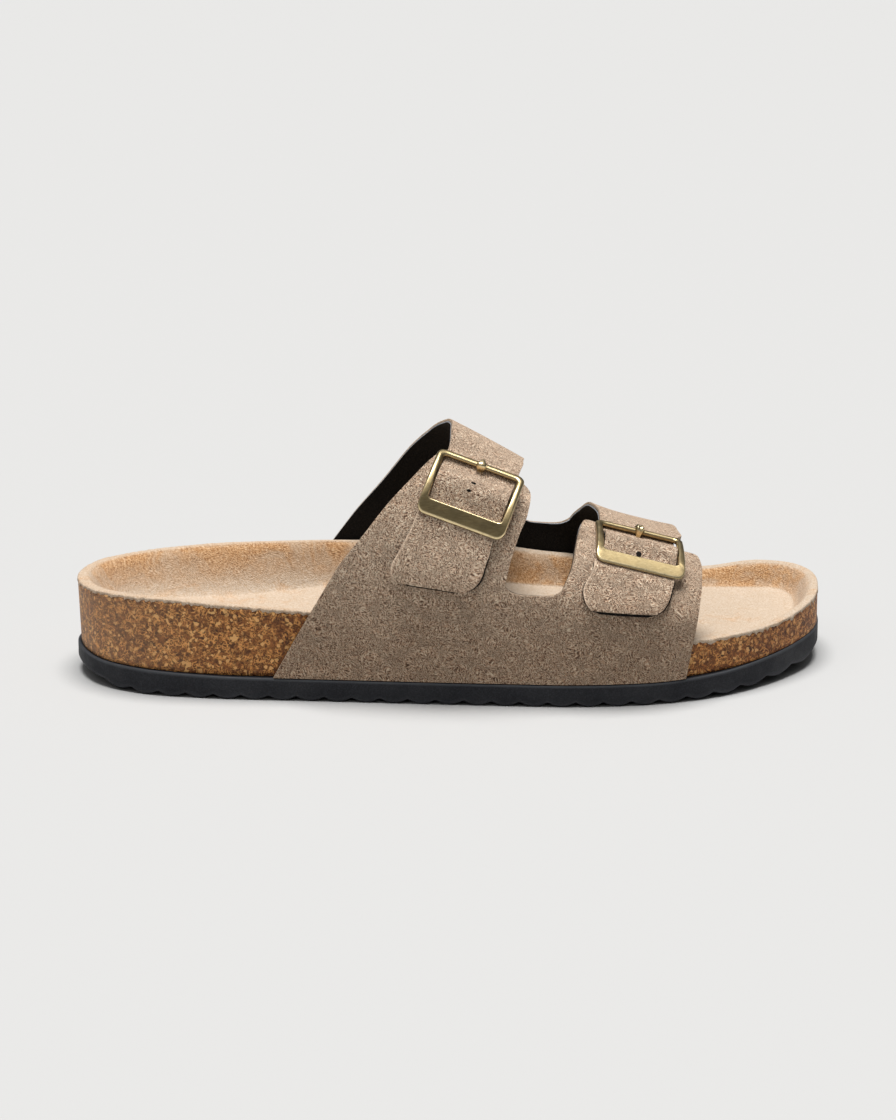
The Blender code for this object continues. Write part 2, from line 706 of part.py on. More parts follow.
def seated(obj, seat):
    # Bends a flat buckle piece to the strap's curve and moves it to its seat.
    for vertex in obj.data.vertices:
        across, along, lift = (value / MM for value in vertex.co)
        vertex.co = Vector(seat.place(across, along, lift)) * MM


def build_frame(name, seat, material, collection, cutters):
    curve = bpy.data.curves.new(name + "_outline", "CURVE")
    curve.dimensions = "2D"
    curve.fill_mode = "BOTH"
    curve.extrude = (FRAME_THICK / 2 - FRAME_EDGE) * MM
    curve.bevel_depth = FRAME_EDGE * MM
    curve.bevel_resolution = 0
    curve.offset = -FRAME_EDGE * MM
    half = FRAME_HIGH / 2
    for box in (
        (FRAME_LONG / 2, -half, half, FRAME_CORNER),
        (FRAME_LONG / 2 - SIDE_BAR, TOP_BAR - half, half - KEEPER_BAR, WINDOW_CORNER),
    ):
        points = rounded_box(*box)
        spline = curve.splines.new("POLY")
        spline.points.add(len(points) - 1)
        for slot, (x, y) in zip(spline.points, points):
            slot.co = (x * MM, y * MM, 0.0, 1.0)
        spline.use_cyclic_u = True
    guide = bpy.data.objects.new(name + "_outline", curve)
    bm = bmesh.new()
    bm.from_mesh(bpy.data.meshes.new_from_object(guide))
    bpy.data.objects.remove(guide)
    bmesh.ops.remove_doubles(bm, verts=bm.verts, dist=1e-6)
    for k in range(1, BEND_CUTS + 1):
        height = (k / (BEND_CUTS + 1) - 0.5) * FRAME_HIGH * MM
        bmesh.ops.bisect_plane(
            bm,
            geom=bm.verts[:] + bm.edges[:] + bm.faces[:],
            dist=1e-7,
            plane_co=(0, height, 0),
            plane_no=(0, 1, 0),
        )
    bmesh.ops.translate(bm, verts=bm.verts, vec=(0, 0, (FRAME_LIFT + FRAME_THICK / 2) * MM))
    bmesh.ops.recalc_face_normals(bm, faces=bm.faces)
    frame = add_object(name, bm, material, collection)
    seated(frame, seat)
    bm = bmesh.new()
    place = Matrix.Translation(Vector((0, TUNNEL_MIDDLE, CENTRE_BAR_LIFT)) * MM)
    bmesh.ops.create_cone(
        bm,
        cap_ends=True,
        segments=CENTRE_BAR_SIDES,
        radius1=CENTRE_BAR / 2 * MM,
        radius2=CENTRE_BAR / 2 * MM,
        depth=(FRAME_LONG - SIDE_BAR) * MM,
        matrix=place @ Matrix.Rotation(math.pi / 2, 4, "Y"),
    )
    bar = add_object(name + "_centre_bar", bm, None, cutters)
    seated(bar, seat)
    cut(frame, bar, "UNION")


def prong_rings(seat, clear):
    rings = []
    last = len(PRONG) - 1
    for k, row in enumerate(PRONG):
        before, after = PRONG[max(k - 1, 0)], PRONG[min(k + 1, last)]
        heading = math.atan2(after.lift - before.lift, after.along - before.along)
        longer = clear * ((k == last) - (k == 0))
        along = row.along + longer * math.cos(heading)
        lift = row.lift + longer * math.sin(heading)
        ring = []
        for side in range(PRONG_SIDES):
            turn = 2 * math.pi * (side + 0.5) / PRONG_SIDES
            across = (row.half_width + clear) * math.cos(turn)
            thick = (row.half_thick + clear) * math.sin(turn)
            back, up = thick * math.sin(heading), thick * math.cos(heading)
            ring.append(seat.place(across, along - back, lift + up))
        rings.append(ring)
    return rings


def make_material(name):
    colour, roughness, metallic = MATERIALS[name]
    material = bpy.data.materials.new(name)
    material.use_nodes = True
    shader = material.node_tree.nodes["Principled BSDF"]
    shader.inputs["Base Color"].default_value = (*colour, 1.0)
    shader.inputs["Roughness"].default_value = roughness
    shader.inputs["Metallic"].default_value = metallic
    material.diffuse_color = (*colour, 1.0)
    return material


def centre_on_floor(collection):
    # Parents every part to one empty, moved so that the whole stands centred on the origin.
    bpy.context.view_layer.update()
    graph = bpy.context.evaluated_depsgraph_get()
    meshes = [obj.evaluated_get(graph).data for obj in collection.objects]
    corners = np.array([vertex.co[:] for mesh in meshes for vertex in mesh.vertices])
    low, high = corners.min(axis=0), corners.max(axis=0)
    pieces = list(bpy.data.objects)
    root = bpy.data.objects.new("sandal", None)
    root.location = (-(low[0] + high[0]) / 2, -(low[1] + high[1]) / 2, -low[2])
    for obj in pieces:
        obj.parent = root
    collection.objects.link(root)


def build():
    for obj in list(bpy.data.objects):
        bpy.data.objects.remove(obj)
    parts = bpy.data.collections.new("footbed_sandal")
    cutters = bpy.data.collections.new("cutters")
    for collection in (parts, cutters):
        bpy.context.scene.collection.children.link(collection)
    cutters.hide_render = True
    material = {name: make_material(name) for name in MATERIALS}
    build_outsole(material["eva_black"], parts, cutters)
    build_cork(material["cork"], parts)
    build_lining(material["footbed_suede"], parts)
    seats = (BuckleSeat(REAR_RIDE), BuckleSeat(FRONT_RIDE))
    upper = build_quarter(material["upper_suede"], parts)
    cut(upper, build_straps(seats, cutters), "UNION")
    for name, seat in zip(("rear", "front"), seats):
        build_frame(name + "_buckle_frame", seat, material["brass"], parts, cutters)
        loft(name + "_buckle_prong", prong_rings(seat, 0.0), material["brass"], parts, capped=True)
        cut(upper, loft(name + "_strap_hole", prong_rings(seat, HOLE_CLEAR), None, cutters, capped=True))
    centre_on_floor(parts)


build()
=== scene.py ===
import math

import bmesh
import bpy
import numpy as np
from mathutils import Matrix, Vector


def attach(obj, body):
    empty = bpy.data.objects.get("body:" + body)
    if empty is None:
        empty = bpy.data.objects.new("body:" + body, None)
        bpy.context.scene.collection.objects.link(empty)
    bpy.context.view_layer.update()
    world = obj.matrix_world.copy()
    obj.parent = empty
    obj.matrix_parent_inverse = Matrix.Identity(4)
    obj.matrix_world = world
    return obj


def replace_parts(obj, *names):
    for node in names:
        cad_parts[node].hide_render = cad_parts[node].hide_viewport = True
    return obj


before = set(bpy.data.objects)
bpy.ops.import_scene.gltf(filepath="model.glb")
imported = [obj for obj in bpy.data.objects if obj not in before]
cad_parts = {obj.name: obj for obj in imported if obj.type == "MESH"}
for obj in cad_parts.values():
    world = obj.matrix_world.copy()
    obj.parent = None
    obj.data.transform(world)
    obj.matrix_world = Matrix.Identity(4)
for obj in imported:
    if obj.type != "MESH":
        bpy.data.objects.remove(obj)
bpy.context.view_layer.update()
print("frame loaded:", ", ".join(sorted(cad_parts)))

mm = 0.001
heelAt = np.array((-141.8816, 0.6618, 0.0))  # the footbed's heel in the row frame, mm
dice = np.random.default_rng(7)

# The sole: every table runs from heel to toe, in mm; the outline is in percent of length and ball width
sole = {
    "length": 282.5,
    "ballWidth": 100.0,
    "heelBack": 1.0,
    "outlineAlong": [0, 2.5, 8.8, 18.1, 30.8, 43.5, 56.3, 66.9, 77.2, 86.4, 94, 98.8, 100,
                     99.4, 96.7, 90.5, 82.1, 72.2, 62.7, 52, 40.7, 29.4, 18.1, 8.8, 2.5],
    "outlineAcross": [0, -21.5, -34.5, -40, -42.5, -45.6, -48.5, -50, -46.5, -36.5, -19, 1, 17,
                      35, 45.8, 50, 51, 49.5, 44, 36.5, 32.5, 33, 35, 31.5, 20.5],
    "smoothness": 60,
    "rimTurn": 25.0,
    "spineHeel": 36.0,
    "spineToe": 246.0,
}
levels = {
    "along": [0, 12, 30, 60, 100, 140, 180, 215, 240, 264, 285],
    "under": [3.6, 1.4, 0, 0, 0, 0, 0, 0, 0.6, 2.1, 4.7],
    "seam": [11.4, 10.2, 9.6, 8.7, 8.4, 8.4, 8.4, 8.4, 9.4, 11.4, 14.2],
    "lateralRim": [36.4, 37.4, 37.8, 36.1, 33.6, 30.4, 26.5, 24.2, 22.9, 23.3, 24.4],
    "medialRim": [36.4, 36.6, 37.5, 39.5, 41, 40.5, 33, 27.8, 25.1, 28.2, 28.2],
    "lip": [1.3, 1.3, 1.4, 2, 2.6, 2.6, 2.6, 2.6, 2, 0.8, 0.4],
}
floors = {
    "along": [10, 45, 80, 115, 150, 180, 205, 235, 268],
    "lateral": [24, 22.5, 22.5, 22, 20.5, 18.5, 17.5, 17.5, 18.5],
    "middle": [22.5, 20.5, 21, 22, 22.5, 20.5, 18.5, 18, 19],
    "medial": [24, 23.5, 26, 29, 26, 21, 18.5, 19, 19.5],
}
instep = {
    "along": [60, 100, 140, 170, 195, 228, 252],
    "crest": [126, 113, 94.6, 77.5, 59.7, 46, 41.6],
    "across": [0, 0, -1, -2, -2, 2, 6],
    "lateralSpring": [44, 44, 43, 38, 32, 26.5, 25.5],
    "medialSpring": [50, 49, 47, 42, 36, 31, 29],
    "roundness": [2.25, 2.25, 2.25, 2.2, 2.0, 2.7, 2.75],
}


def curveAt(table, column, at):  # smooth value between a table's rows, never past them
    place = np.array(next(iter(table.values())), float)
    value = np.array(table[column], float)
    step = np.diff(place)
    slope = np.diff(value) / step
    lean = np.zeros(len(place))
    lean[0], lean[-1] = slope[0], slope[-1]
    for k in range(1, len(place) - 1):
        if slope[k - 1] * slope[k] > 0:
            lean[k] = 2 / (1 / slope[k - 1] + 1 / slope[k])
    at = np.clip(np.asarray(at, float), place[0], place[-1])
    k = np.clip(np.searchsorted(place, at) - 1, 0, len(step) - 1)
    f = (at - place[k]) / step[k]
    near = value[k] * (1 + 2 * f) * (1 - f) ** 2 + lean[k] * step[k] * f * (1 - f) ** 2
    return near + value[k + 1] * f * f * (3 - 2 * f) - lean[k + 1] * step[k] * f * f * (1 - f)


def ease(share):
    share = np.clip(share, 0.0, 1.0)
    return share * share * (3 - 2 * share)


def easeOver(value, start, full):
    return ease((value - start) / (full - start))


def soleOutline():  # closed spline through the outline, with its outward direction
    rows = np.stack([sole["heelBack"] + np.array(sole["outlineAlong"]) / 100 * sole["length"],
                     np.array(sole["outlineAcross"]) / 100 * sole["ballWidth"]], 1)
    chord = np.linalg.norm(np.roll(rows, -1, 0) - rows, axis=1) ** 0.5
    points = []
    for k in range(len(rows)):
        before, here = rows[k - 1], rows[k]
        there, after = rows[(k + 1) % len(rows)], rows[(k + 2) % len(rows)]
        d0, d1, d2 = chord[k - 1], chord[k], chord[(k + 1) % len(rows)]
        leave = (there - here) / d1 - (there - before) / (d0 + d1) + (here - before) / d0
        reach = (after - there) / d2 - (after - here) / (d1 + d2) + (there - here) / d1
        for f in np.linspace(0, 1, sole["smoothness"], endpoint=False):
            start = here * (1 + 2 * f) * (1 - f) ** 2 + leave * d1 * f * (1 - f) ** 2
            points.append(start + there * f * f * (3 - 2 * f) - reach * d1 * f * f * (1 - f))
    points = np.array(points)
    ahead = np.roll(points, -1, 0) - np.roll(points, 1, 0)
    outward = np.stack([ahead[:, 1], -ahead[:, 0]], 1)
    return points, outward / np.linalg.norm(outward, axis=1)[:, None]


outline, outlineOut = soleOutline()
heelIndex = int(np.argmin(outline[:, 0]))
outline, outlineOut = np.roll(outline, -heelIndex, 0), np.roll(outlineOut, -heelIndex, 0)
toeIndex = int(np.argmax(outline[:, 0]))
sideLines = {
    "lateral": (outline[:toeIndex + 1], outlineOut[:toeIndex + 1]),
    "medial": (np.vstack([outline[toeIndex:], outline[:1]])[::-1],
               np.vstack([outlineOut[toeIndex:], outlineOut[:1]])[::-1]),
}


def edgeAt(along, side, out):
    line, outward = sideLines[side]
    grown = line + outward * out
    return np.interp(along, grown[:, 0], grown[:, 1])


def soleStations(count):  # places round the outline, lateral side first, and their outward direction
    turn = np.linspace(0, math.pi, count + 1)
    along = outline[0, 0] + (outline[toeIndex, 0] - outline[0, 0]) * (1 - np.cos(turn)) / 2
    halves = []
    for side in ("lateral", "medial"):
        line, outward = sideLines[side]
        others = (line[:, 1], outward[:, 0], outward[:, 1])
        halves.append(np.stack([along] + [np.interp(along, line[:, 0], other) for other in others], 1))
    ring = np.vstack([halves[0], halves[1][1:-1][::-1]])
    outward = ring[:, 2:] / np.linalg.norm(ring[:, 2:], axis=1)[:, None]
    return ring[:, :2], outward


def spineOf(plan):
    share = (plan[:, 0] - outline[0, 0]) / (outline[toeIndex, 0] - outline[0, 0])
    along = sole["spineHeel"] + (sole["spineToe"] - sole["spineHeel"]) * share
    return np.stack([along, (edgeAt(along, "lateral", 0) + edgeAt(along, "medial", 0)) / 2], 1)


def rimHeight(plan):
    turn = easeOver(plan[:, 1], -sole["rimTurn"], sole["rimTurn"])
    lateral = curveAt(levels, "lateralRim", plan[:, 0])
    return lateral + (curveAt(levels, "medialRim", plan[:, 0]) - lateral) * turn


def floorHeight(plan):
    low, high = edgeAt(plan[:, 0], "lateral", 0), edgeAt(plan[:, 0], "medial", 0)
    share = np.clip((2 * plan[:, 1] - low - high) / np.maximum(high - low, 1), -1, 1)
    lateral, middle, medial = (curveAt(floors, name, plan[:, 0]) for name in ("lateral", "middle", "medial"))
    return middle + (medial - lateral) / 2 * share + ((medial + lateral) / 2 - middle) * share**2


def raised(plan, height):
    return np.column_stack([plan, np.broadcast_to(height, len(plan))])


def linked(name, data):
    made = bpy.data.objects.new(name, data)
    bpy.context.scene.collection.objects.link(made)
    return made


def meshOf(name, bm, materials):
    mesh = bpy.data.meshes.new(name)
    bm.to_mesh(mesh)
    bm.free()
    for material in materials:
        mesh.materials.append(material)
    return mesh


def finished(name, bm, materials):  # a piece at the origin that rides on the sandal
    piece = linked(name, meshOf(name, bm, materials))
    for polygon in piece.data.polygons:
        polygon.use_smooth = True
    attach(piece, "root")
    return piece


def placed(verts, points):
    for vert, point in zip(verts, (points + heelAt) * mm):
        vert.co = point


def gridShares(verts):
    spots = np.array([vert.co[:2] for vert in verts])
    return (spots[:, 0] + 1) / 2, (spots[:, 1] + 1) / 2


def ringSkin(bm, rings, marks=None):  # a grid rolled up into rings, with a value for each ring point
    rings = np.array(rings)
    rows, columns = rings.shape[:2]
    layers = {name: bm.verts.layers.float.new(name) for name in marks or {}}
    verts = bmesh.ops.create_grid(bm, x_segments=columns, y_segments=rows - 1, size=1.0)["verts"]
    across, up = gridShares(verts)
    column = np.rint(across * columns).astype(int) % columns
    row = np.rint(up * (rows - 1)).astype(int)
    placed(verts, rings[row, column])
    for name, layer in layers.items():
        for vert, value in zip(verts, np.array(marks[name])[row, column]):
            vert[layer] = value
    bmesh.ops.remove_doubles(bm, verts=bm.verts, dist=1e-7)
    bmesh.ops.dissolve_degenerate(bm, edges=bm.edges, dist=1e-7)
    bmesh.ops.recalc_face_normals(bm, faces=bm.faces)


def screen(red, green, blue):  # a colour as seen on screen, 0 to 255
    share = np.array((red, green, blue)) / 255
    return tuple(np.where(share <= 0.04045, share / 12.92, ((share + 0.055) / 1.055) ** 2.4)) + (1.0,)


def addNode(tree, kind, inputs=None, **settings):
    made = tree.nodes.new("ShaderNode" + kind)
    for name, value in settings.items():
        setattr(made, name, value)
    for name, value in (inputs or {}).items():
        if isinstance(value, bpy.types.NodeSocket):
            tree.links.new(value, made.inputs[name])
        else:
            made.inputs[name].default_value = value
    return made


def mixColour(tree, factor, first, second, blend="MIX"):
    made = addNode(tree, "Mix", {0: factor, 6: first, 7: second}, data_type="RGBA", blend_type=blend)
    return made.outputs[2]


def calc(tree, operation, first, second=0.5):
    return addNode(tree, "Math", {0: first, 1: second}, operation=operation).outputs[0]


def times(tree, first, second):
    return calc(tree, "MULTIPLY", first, second)


def scaled(tree, vector, factor):
    return addNode(tree, "VectorMath", {0: vector, "Scale": factor}, operation="SCALE").outputs[0]


def fromTo(tree, value, low, high, newLow=0.0, newHigh=1.0):
    names = {"Value": value, "From Min": low, "From Max": high, "To Min": newLow, "To Max": newHigh}
    return addNode(tree, "MapRange", names, interpolation_type="SMOOTHSTEP").outputs["Result"]


def ramp(tree, value, rows):  # rows of place, red, green and blue, in rising order
    made = addNode(tree, "ValToRGB", {"Fac": value})
    stops = made.color_ramp.elements
    stops[0].position, stops[1].position = rows[0][0], rows[-1][0]
    for row in rows[1:-1]:
        stops.new(row[0])
    for stop, row in zip(stops, rows):
        stop.color = screen(*row[1:])
    return made.outputs["Color"]


def noise(tree, vector, scale, detail=2.0, rough=0.5, twist=0.0):
    names = {"Vector": vector, "Scale": scale, "Detail": detail, "Roughness": rough, "Distortion": twist}
    return addNode(tree, "TexNoise", names).outputs["Fac"]


def graded(tree, vector, grain, span):  # a noise brought to a span of values
    return fromTo(tree, noise(tree, vector, *grain), *span)


def drifting(tree, vector, scale, detail):  # a slow flow, as a vector
    return addNode(tree, "TexNoise", {"Vector": vector, "Scale": scale, "Detail": detail}).outputs["Color"]


def cells(tree, vector, scale):  # distance inside each cell, and two values drawn for it
    made = addNode(tree, "TexVoronoi", {"Vector": vector, "Scale": scale})
    drawn = addNode(tree, "SeparateColor", {0: made.outputs["Color"]}).outputs
    return made.outputs["Distance"], drawn[0], drawn[1]


def objectPlace(tree):
    return addNode(tree, "TexCoord").outputs["Object"]


def axisOf(tree, vector, axis):
    return addNode(tree, "SeparateXYZ", {0: vector}).outputs[axis]


def ownValue(tree, name):
    return addNode(tree, "Attribute", attribute_name=name).outputs["Fac"]


def newGroup(name, inputs, outputs):
    group = bpy.data.node_groups.new(name, "ShaderNodeTree")
    for label, kind, value in inputs:
        socket = group.interface.new_socket(label, in_out="INPUT", socket_type="NodeSocket" + kind)
        if value is not None:
            socket.default_value = value
    for label, kind in outputs:
        group.interface.new_socket(label, in_out="OUTPUT", socket_type="NodeSocket" + kind)
    return group, group.nodes.new("NodeGroupInput").outputs, group.nodes.new("NodeGroupOutput").inputs


def useGroup(tree, group, inputs):
    return addNode(tree, "Group", inputs, node_tree=group).outputs


# The nap: a noise is scale, detail, roughness and twist, then the span of it that counts
napLook = {
    "drift": 150.0,
    "turns": (0.5, 1.55, 2.6),
    "tilt": 0.4,
    "stretch": (0.45, 1.0, 1.0),
    "stroke": ((2300.0, 1.0, 0.5, 0.5), (0.45, 0.75)),
    "strokeShare": 0.4,
    "pit": ((1250.0, 2.0, 0.65, 0.4), (0.36, 0.58)),
    "pitShare": 0.2,
    "ridges": (("DIAGONAL", 640.0), ("X", 300.0)),
    "ridgeTwist": 18.0,
    "ridgeFine": 240.0,
    "ridgeShare": 0.2,
    "blotch": (95.0, 3.0, 0.6, 0.6),
}


def napGroup():  # strokes laid three ways and bent by a flow, pits, two crossing sets of ridges, blotches
    look = napLook
    group, given, wanted = newGroup(
        "napFibres",
        [("Vector", "Vector", None), ("Scale", "Float", 1.0), ("Flow", "Float", 0.006)],
        [("Strokes", "Float"), ("Blotch", "Float")],
    )
    spread = scaled(group, given["Vector"], given["Scale"])
    drift = scaled(group, drifting(group, spread, look["drift"], 1.0), given["Flow"])
    bent = addNode(group, "VectorMath", {0: spread, 1: drift}, operation="ADD").outputs[0]
    strokes = None
    for turn in look["turns"]:
        lay = {"Vector": bent, "Rotation": (0.0, turn, look["tilt"]), "Scale": look["stretch"]}
        laid = addNode(group, "Mapping", lay).outputs[0]
        stroke = graded(group, laid, *look["stroke"])
        strokes = calc(group, "MAXIMUM", strokes, stroke) if strokes else stroke
    pits = times(group, graded(group, bent, *look["pit"]), look["pitShare"])
    strokes = calc(group, "ADD", times(group, strokes, look["strokeShare"]), pits)
    for direction, scale in look["ridges"]:
        swirl = {"Vector": bent, "Scale": scale, "Distortion": look["ridgeTwist"], "Detail": 2.0}
        swirl["Detail Scale"] = look["ridgeFine"] / scale
        ridges = addNode(group, "TexWave", swirl, bands_direction=direction).outputs["Fac"]
        strokes = calc(group, "ADD", strokes, times(group, ridges, look["ridgeShare"]))
    group.links.new(strokes, wanted["Strokes"])
    group.links.new(noise(group, spread, *look["blotch"]), wanted["Blotch"])
    return group


nap = napGroup()


def newMaterial(name):
    material = bpy.data.materials.new(name)
    material.use_nodes = True
    tree = material.node_tree
    return material, tree, tree.nodes["Principled BSDF"]


def bumped(tree, shader, height, strength, distance):
    bump = addNode(tree, "Bump", {"Height": height, "Strength": strength, "Distance": distance})
    tree.links.new(bump.outputs["Normal"], shader.inputs["Normal"])


def suede(name, look):
    material, tree, shader = newMaterial(name)
    place = objectPlace(tree)
    fibres = useGroup(tree, nap, {"Vector": place, "Scale": look["scale"], "Flow": look["flow"]})
    colour = ramp(tree, fibres["Strokes"], look["strokes"])
    patch = times(tree, fromTo(tree, fibres["Blotch"], *look["blotchSpan"]), look["blotch"])
    colour = mixColour(tree, patch, colour, look["blotchColour"], "MULTIPLY")
    # Painted shade: the suede's colour is darkened towards the floor, from the upper height of the span down
    # to the lower, by the low share
    low = times(tree, fromTo(tree, axisOf(tree, place, "Z"), *look["lowShadeSpan"]), look["low"])
    colour = mixColour(tree, low, colour, look["lowShadeColour"], "MULTIPLY")
    # Painted shade: cut edges on the lateral side of the sandal turn near black, fading out towards the
    # middle
    if "paintedShadeSide" in look:
        dark = fromTo(tree, axisOf(tree, place, "Y"), *look["paintedShadeSide"])
        colour = mixColour(tree, dark, colour, look["darkColour"])
    # Painted highlight: one side edge of each strap is mixed towards a pale colour along its tip, as if lit
    if "edgeHighlight" in look:
        pale = fromTo(tree, ownValue(tree, "acrossStrap"), *look["paleAcross"])
        pale = times(tree, pale, fromTo(tree, ownValue(tree, "alongStrap"), *look["paleAlong"]))
        colour = mixColour(tree, pale, colour, look["edgeHighlight"])
    tree.links.new(colour, shader.inputs["Base Color"])
    shader.inputs["Roughness"].default_value = 0.95
    shader.inputs["Specular IOR Level"].default_value = 0.15
    shader.inputs["Sheen Weight"].default_value = look["sheen"]
    shader.inputs["Sheen Roughness"].default_value = 0.45
    shader.inputs["Sheen Tint"].default_value = look["sheenTint"]
    bumped(tree, shader, fibres["Strokes"], look["bump"], 0.0005)
    return material


taupeLook = {
    "scale": 1.1,
    "flow": 0.006,
    "strokes": [(0.24, 98, 75, 60), (0.5, 216, 181, 152), (0.78, 255, 238, 212)],
    "blotch": 0.2,
    "blotchSpan": (0.35, 0.7),
    "blotchColour": screen(205, 196, 190),
    # Painted shade towards the floor: the heights in m where it starts and where it is full, its strength
    # and its colour
    "lowShadeSpan": (0.064, 0.014),
    "low": 1.0,
    "lowShadeColour": screen(210, 204, 199),
    "sheen": 0.9,
    "sheenTint": screen(255, 226, 198),
    "bump": 1.2,
}
# Painted shade on the cut edges of the straps and lining: near black on the lateral side, none nearer the
# middle (Y in m)
paintedEdgeShade = {"paintedShadeSide": (-0.03, -0.016, 1.0, 0.0), "darkColour": screen(20, 18, 17)}
# Painted highlight on one side edge of each strap's tip: its colour, where across the strap in mm, and how
# far along it
strapLook = dict(taupeLook, edgeHighlight=screen(250, 222, 194))
strapLook.update(paleAcross=(-13.9, -13.0, 0.8, 0.0), paleAlong=(6.0, 14.0))
cutEdgeLook = dict(taupeLook, scale=1.8, low=0.2)
cutEdgeLook["strokes"] = [(0.1, 150, 126, 104), (0.5, 188, 164, 140), (0.9, 226, 202, 176)]
liningLook = dict(taupeLook, scale=1.4, low=0.0, bump=0.4, sheen=0.05)
liningLook["strokes"] = [(0.1, 14, 13, 12), (0.5, 24, 22, 20), (0.9, 40, 37, 34)]
liningEdgeLook = dict(liningLook, **paintedEdgeShade)
liningEdgeLook["strokes"] = [(0.1, 104, 107, 112), (0.5, 142, 145, 150), (0.9, 186, 188, 192)]
taupe = suede("taupeSuede", taupeLook)
strapTaupe = suede("strapSuede", strapLook)
cutEdge = suede("suedeCutEdge", cutEdgeLook)
strapEdge = suede("strapCutEdge", dict(cutEdgeLook, **paintedEdgeShade))
blackLining = suede("blackLining", liningLook)
liningEdge = suede("liningCutEdge", liningEdgeLook)

footbedLook = {
    "scale": 0.9,
    "flow": 0.004,
    "pale": [(0.1, 180, 155, 127), (0.5, 196, 176, 154), (0.9, 206, 190, 172)],
    "brown": [(0.1, 142, 95, 56), (0.5, 196, 150, 104), (0.9, 230, 194, 153)],
    "patch": ((70.0, 4.0, 0.65, 0.8), (0.32, 0.66)),
    "patchLeast": 0.45,
    "stain": ((42.0, 5.0, 0.7, 1.2), (0.5, 0.7)),
    "stainShare": 0.5,
}


def footbedSuede():
    look = footbedLook
    material, tree, shader = newMaterial("footbedSuede")
    place = objectPlace(tree)
    fibres = useGroup(tree, nap, {"Vector": place, "Scale": look["scale"], "Flow": look["flow"]})
    pale, brown = (ramp(tree, fibres["Strokes"], look[name]) for name in ("pale", "brown"))
    patch = graded(tree, place, *look["patch"])
    shade = times(tree, ownValue(tree, "wall"), fromTo(tree, patch, 0.0, 1.0, look["patchLeast"], 1.0))
    stain = times(tree, graded(tree, place, *look["stain"]), look["stainShare"])
    colour = mixColour(tree, calc(tree, "MAXIMUM", shade, stain), pale, brown)
    tree.links.new(colour, shader.inputs["Base Color"])
    shader.inputs["Roughness"].default_value = 0.92
    shader.inputs["Specular IOR Level"].default_value = 0.2
    shader.inputs["Sheen Weight"].default_value = 0.1
    bumped(tree, shader, calc(tree, "ADD", fibres["Strokes"], patch), 0.45, 0.0006)
    return material


# Cork: a span is from, to and the two values that they become; a curl is scale, level, width and twist
corkLook = {
    "push": 220.0,
    "pushBy": (0.005, 0.005, 0.005),
    "grain": 620.0,
    "crumb": (1100.0, 3.0, 0.6, 1.2),
    "crumbSpan": (0.3, 0.7),
    "crumbShare": 0.7,
    "tones": [(0.05, 62, 35, 18), (0.35, 106, 63, 31), (0.65, 152, 93, 46), (0.95, 192, 124, 66)],
    "borderSpan": (0.0, 0.09, 0.5, 0.0),
    "borderColour": screen(72, 42, 22),
    "curls": ((150.0, 0.55, 0.028, 2.6), (170.0, 0.44, 0.03, 2.6), (260.0, 0.49, 0.04, 2.0)),
    "whorl": 210.0,
    "whorlPitch": 26.0,
    "whorlPhase": 6.28,
    "whorlSpan": (0.3, 1.0, 0.0, 0.85),
    "broken": ((420.0, 2.0, 0.6), (0.4, 0.56, 0.05, 0.9)),
    "strandColour": screen(255, 184, 106),
    "chip": 900.0,
    "paleChips": (0.9, 0.95, 0.0, 0.85),
    "paleColour": screen(252, 196, 124),
    "darkChips": (0.04, 0.1, 0.6, 0.0),
    "darkColour": screen(62, 37, 20),
    "patch": ((55.0, 3.0, 0.6), (0.38, 0.68, 0.0, 0.35)),
    "patchColour": screen(196, 178, 164),
    "toeSpan": (0.06, 0.135),
    "toeColour": screen(234, 228, 232),
    # Painted sheen: the back of the heel is mixed towards a pale colour, 0.2 at the back and none from -0.08
    # m
    "heelSpan": (-0.145, -0.08, 0.2, 0.0),
    "heelSheenColour": screen(226, 190, 158),
}


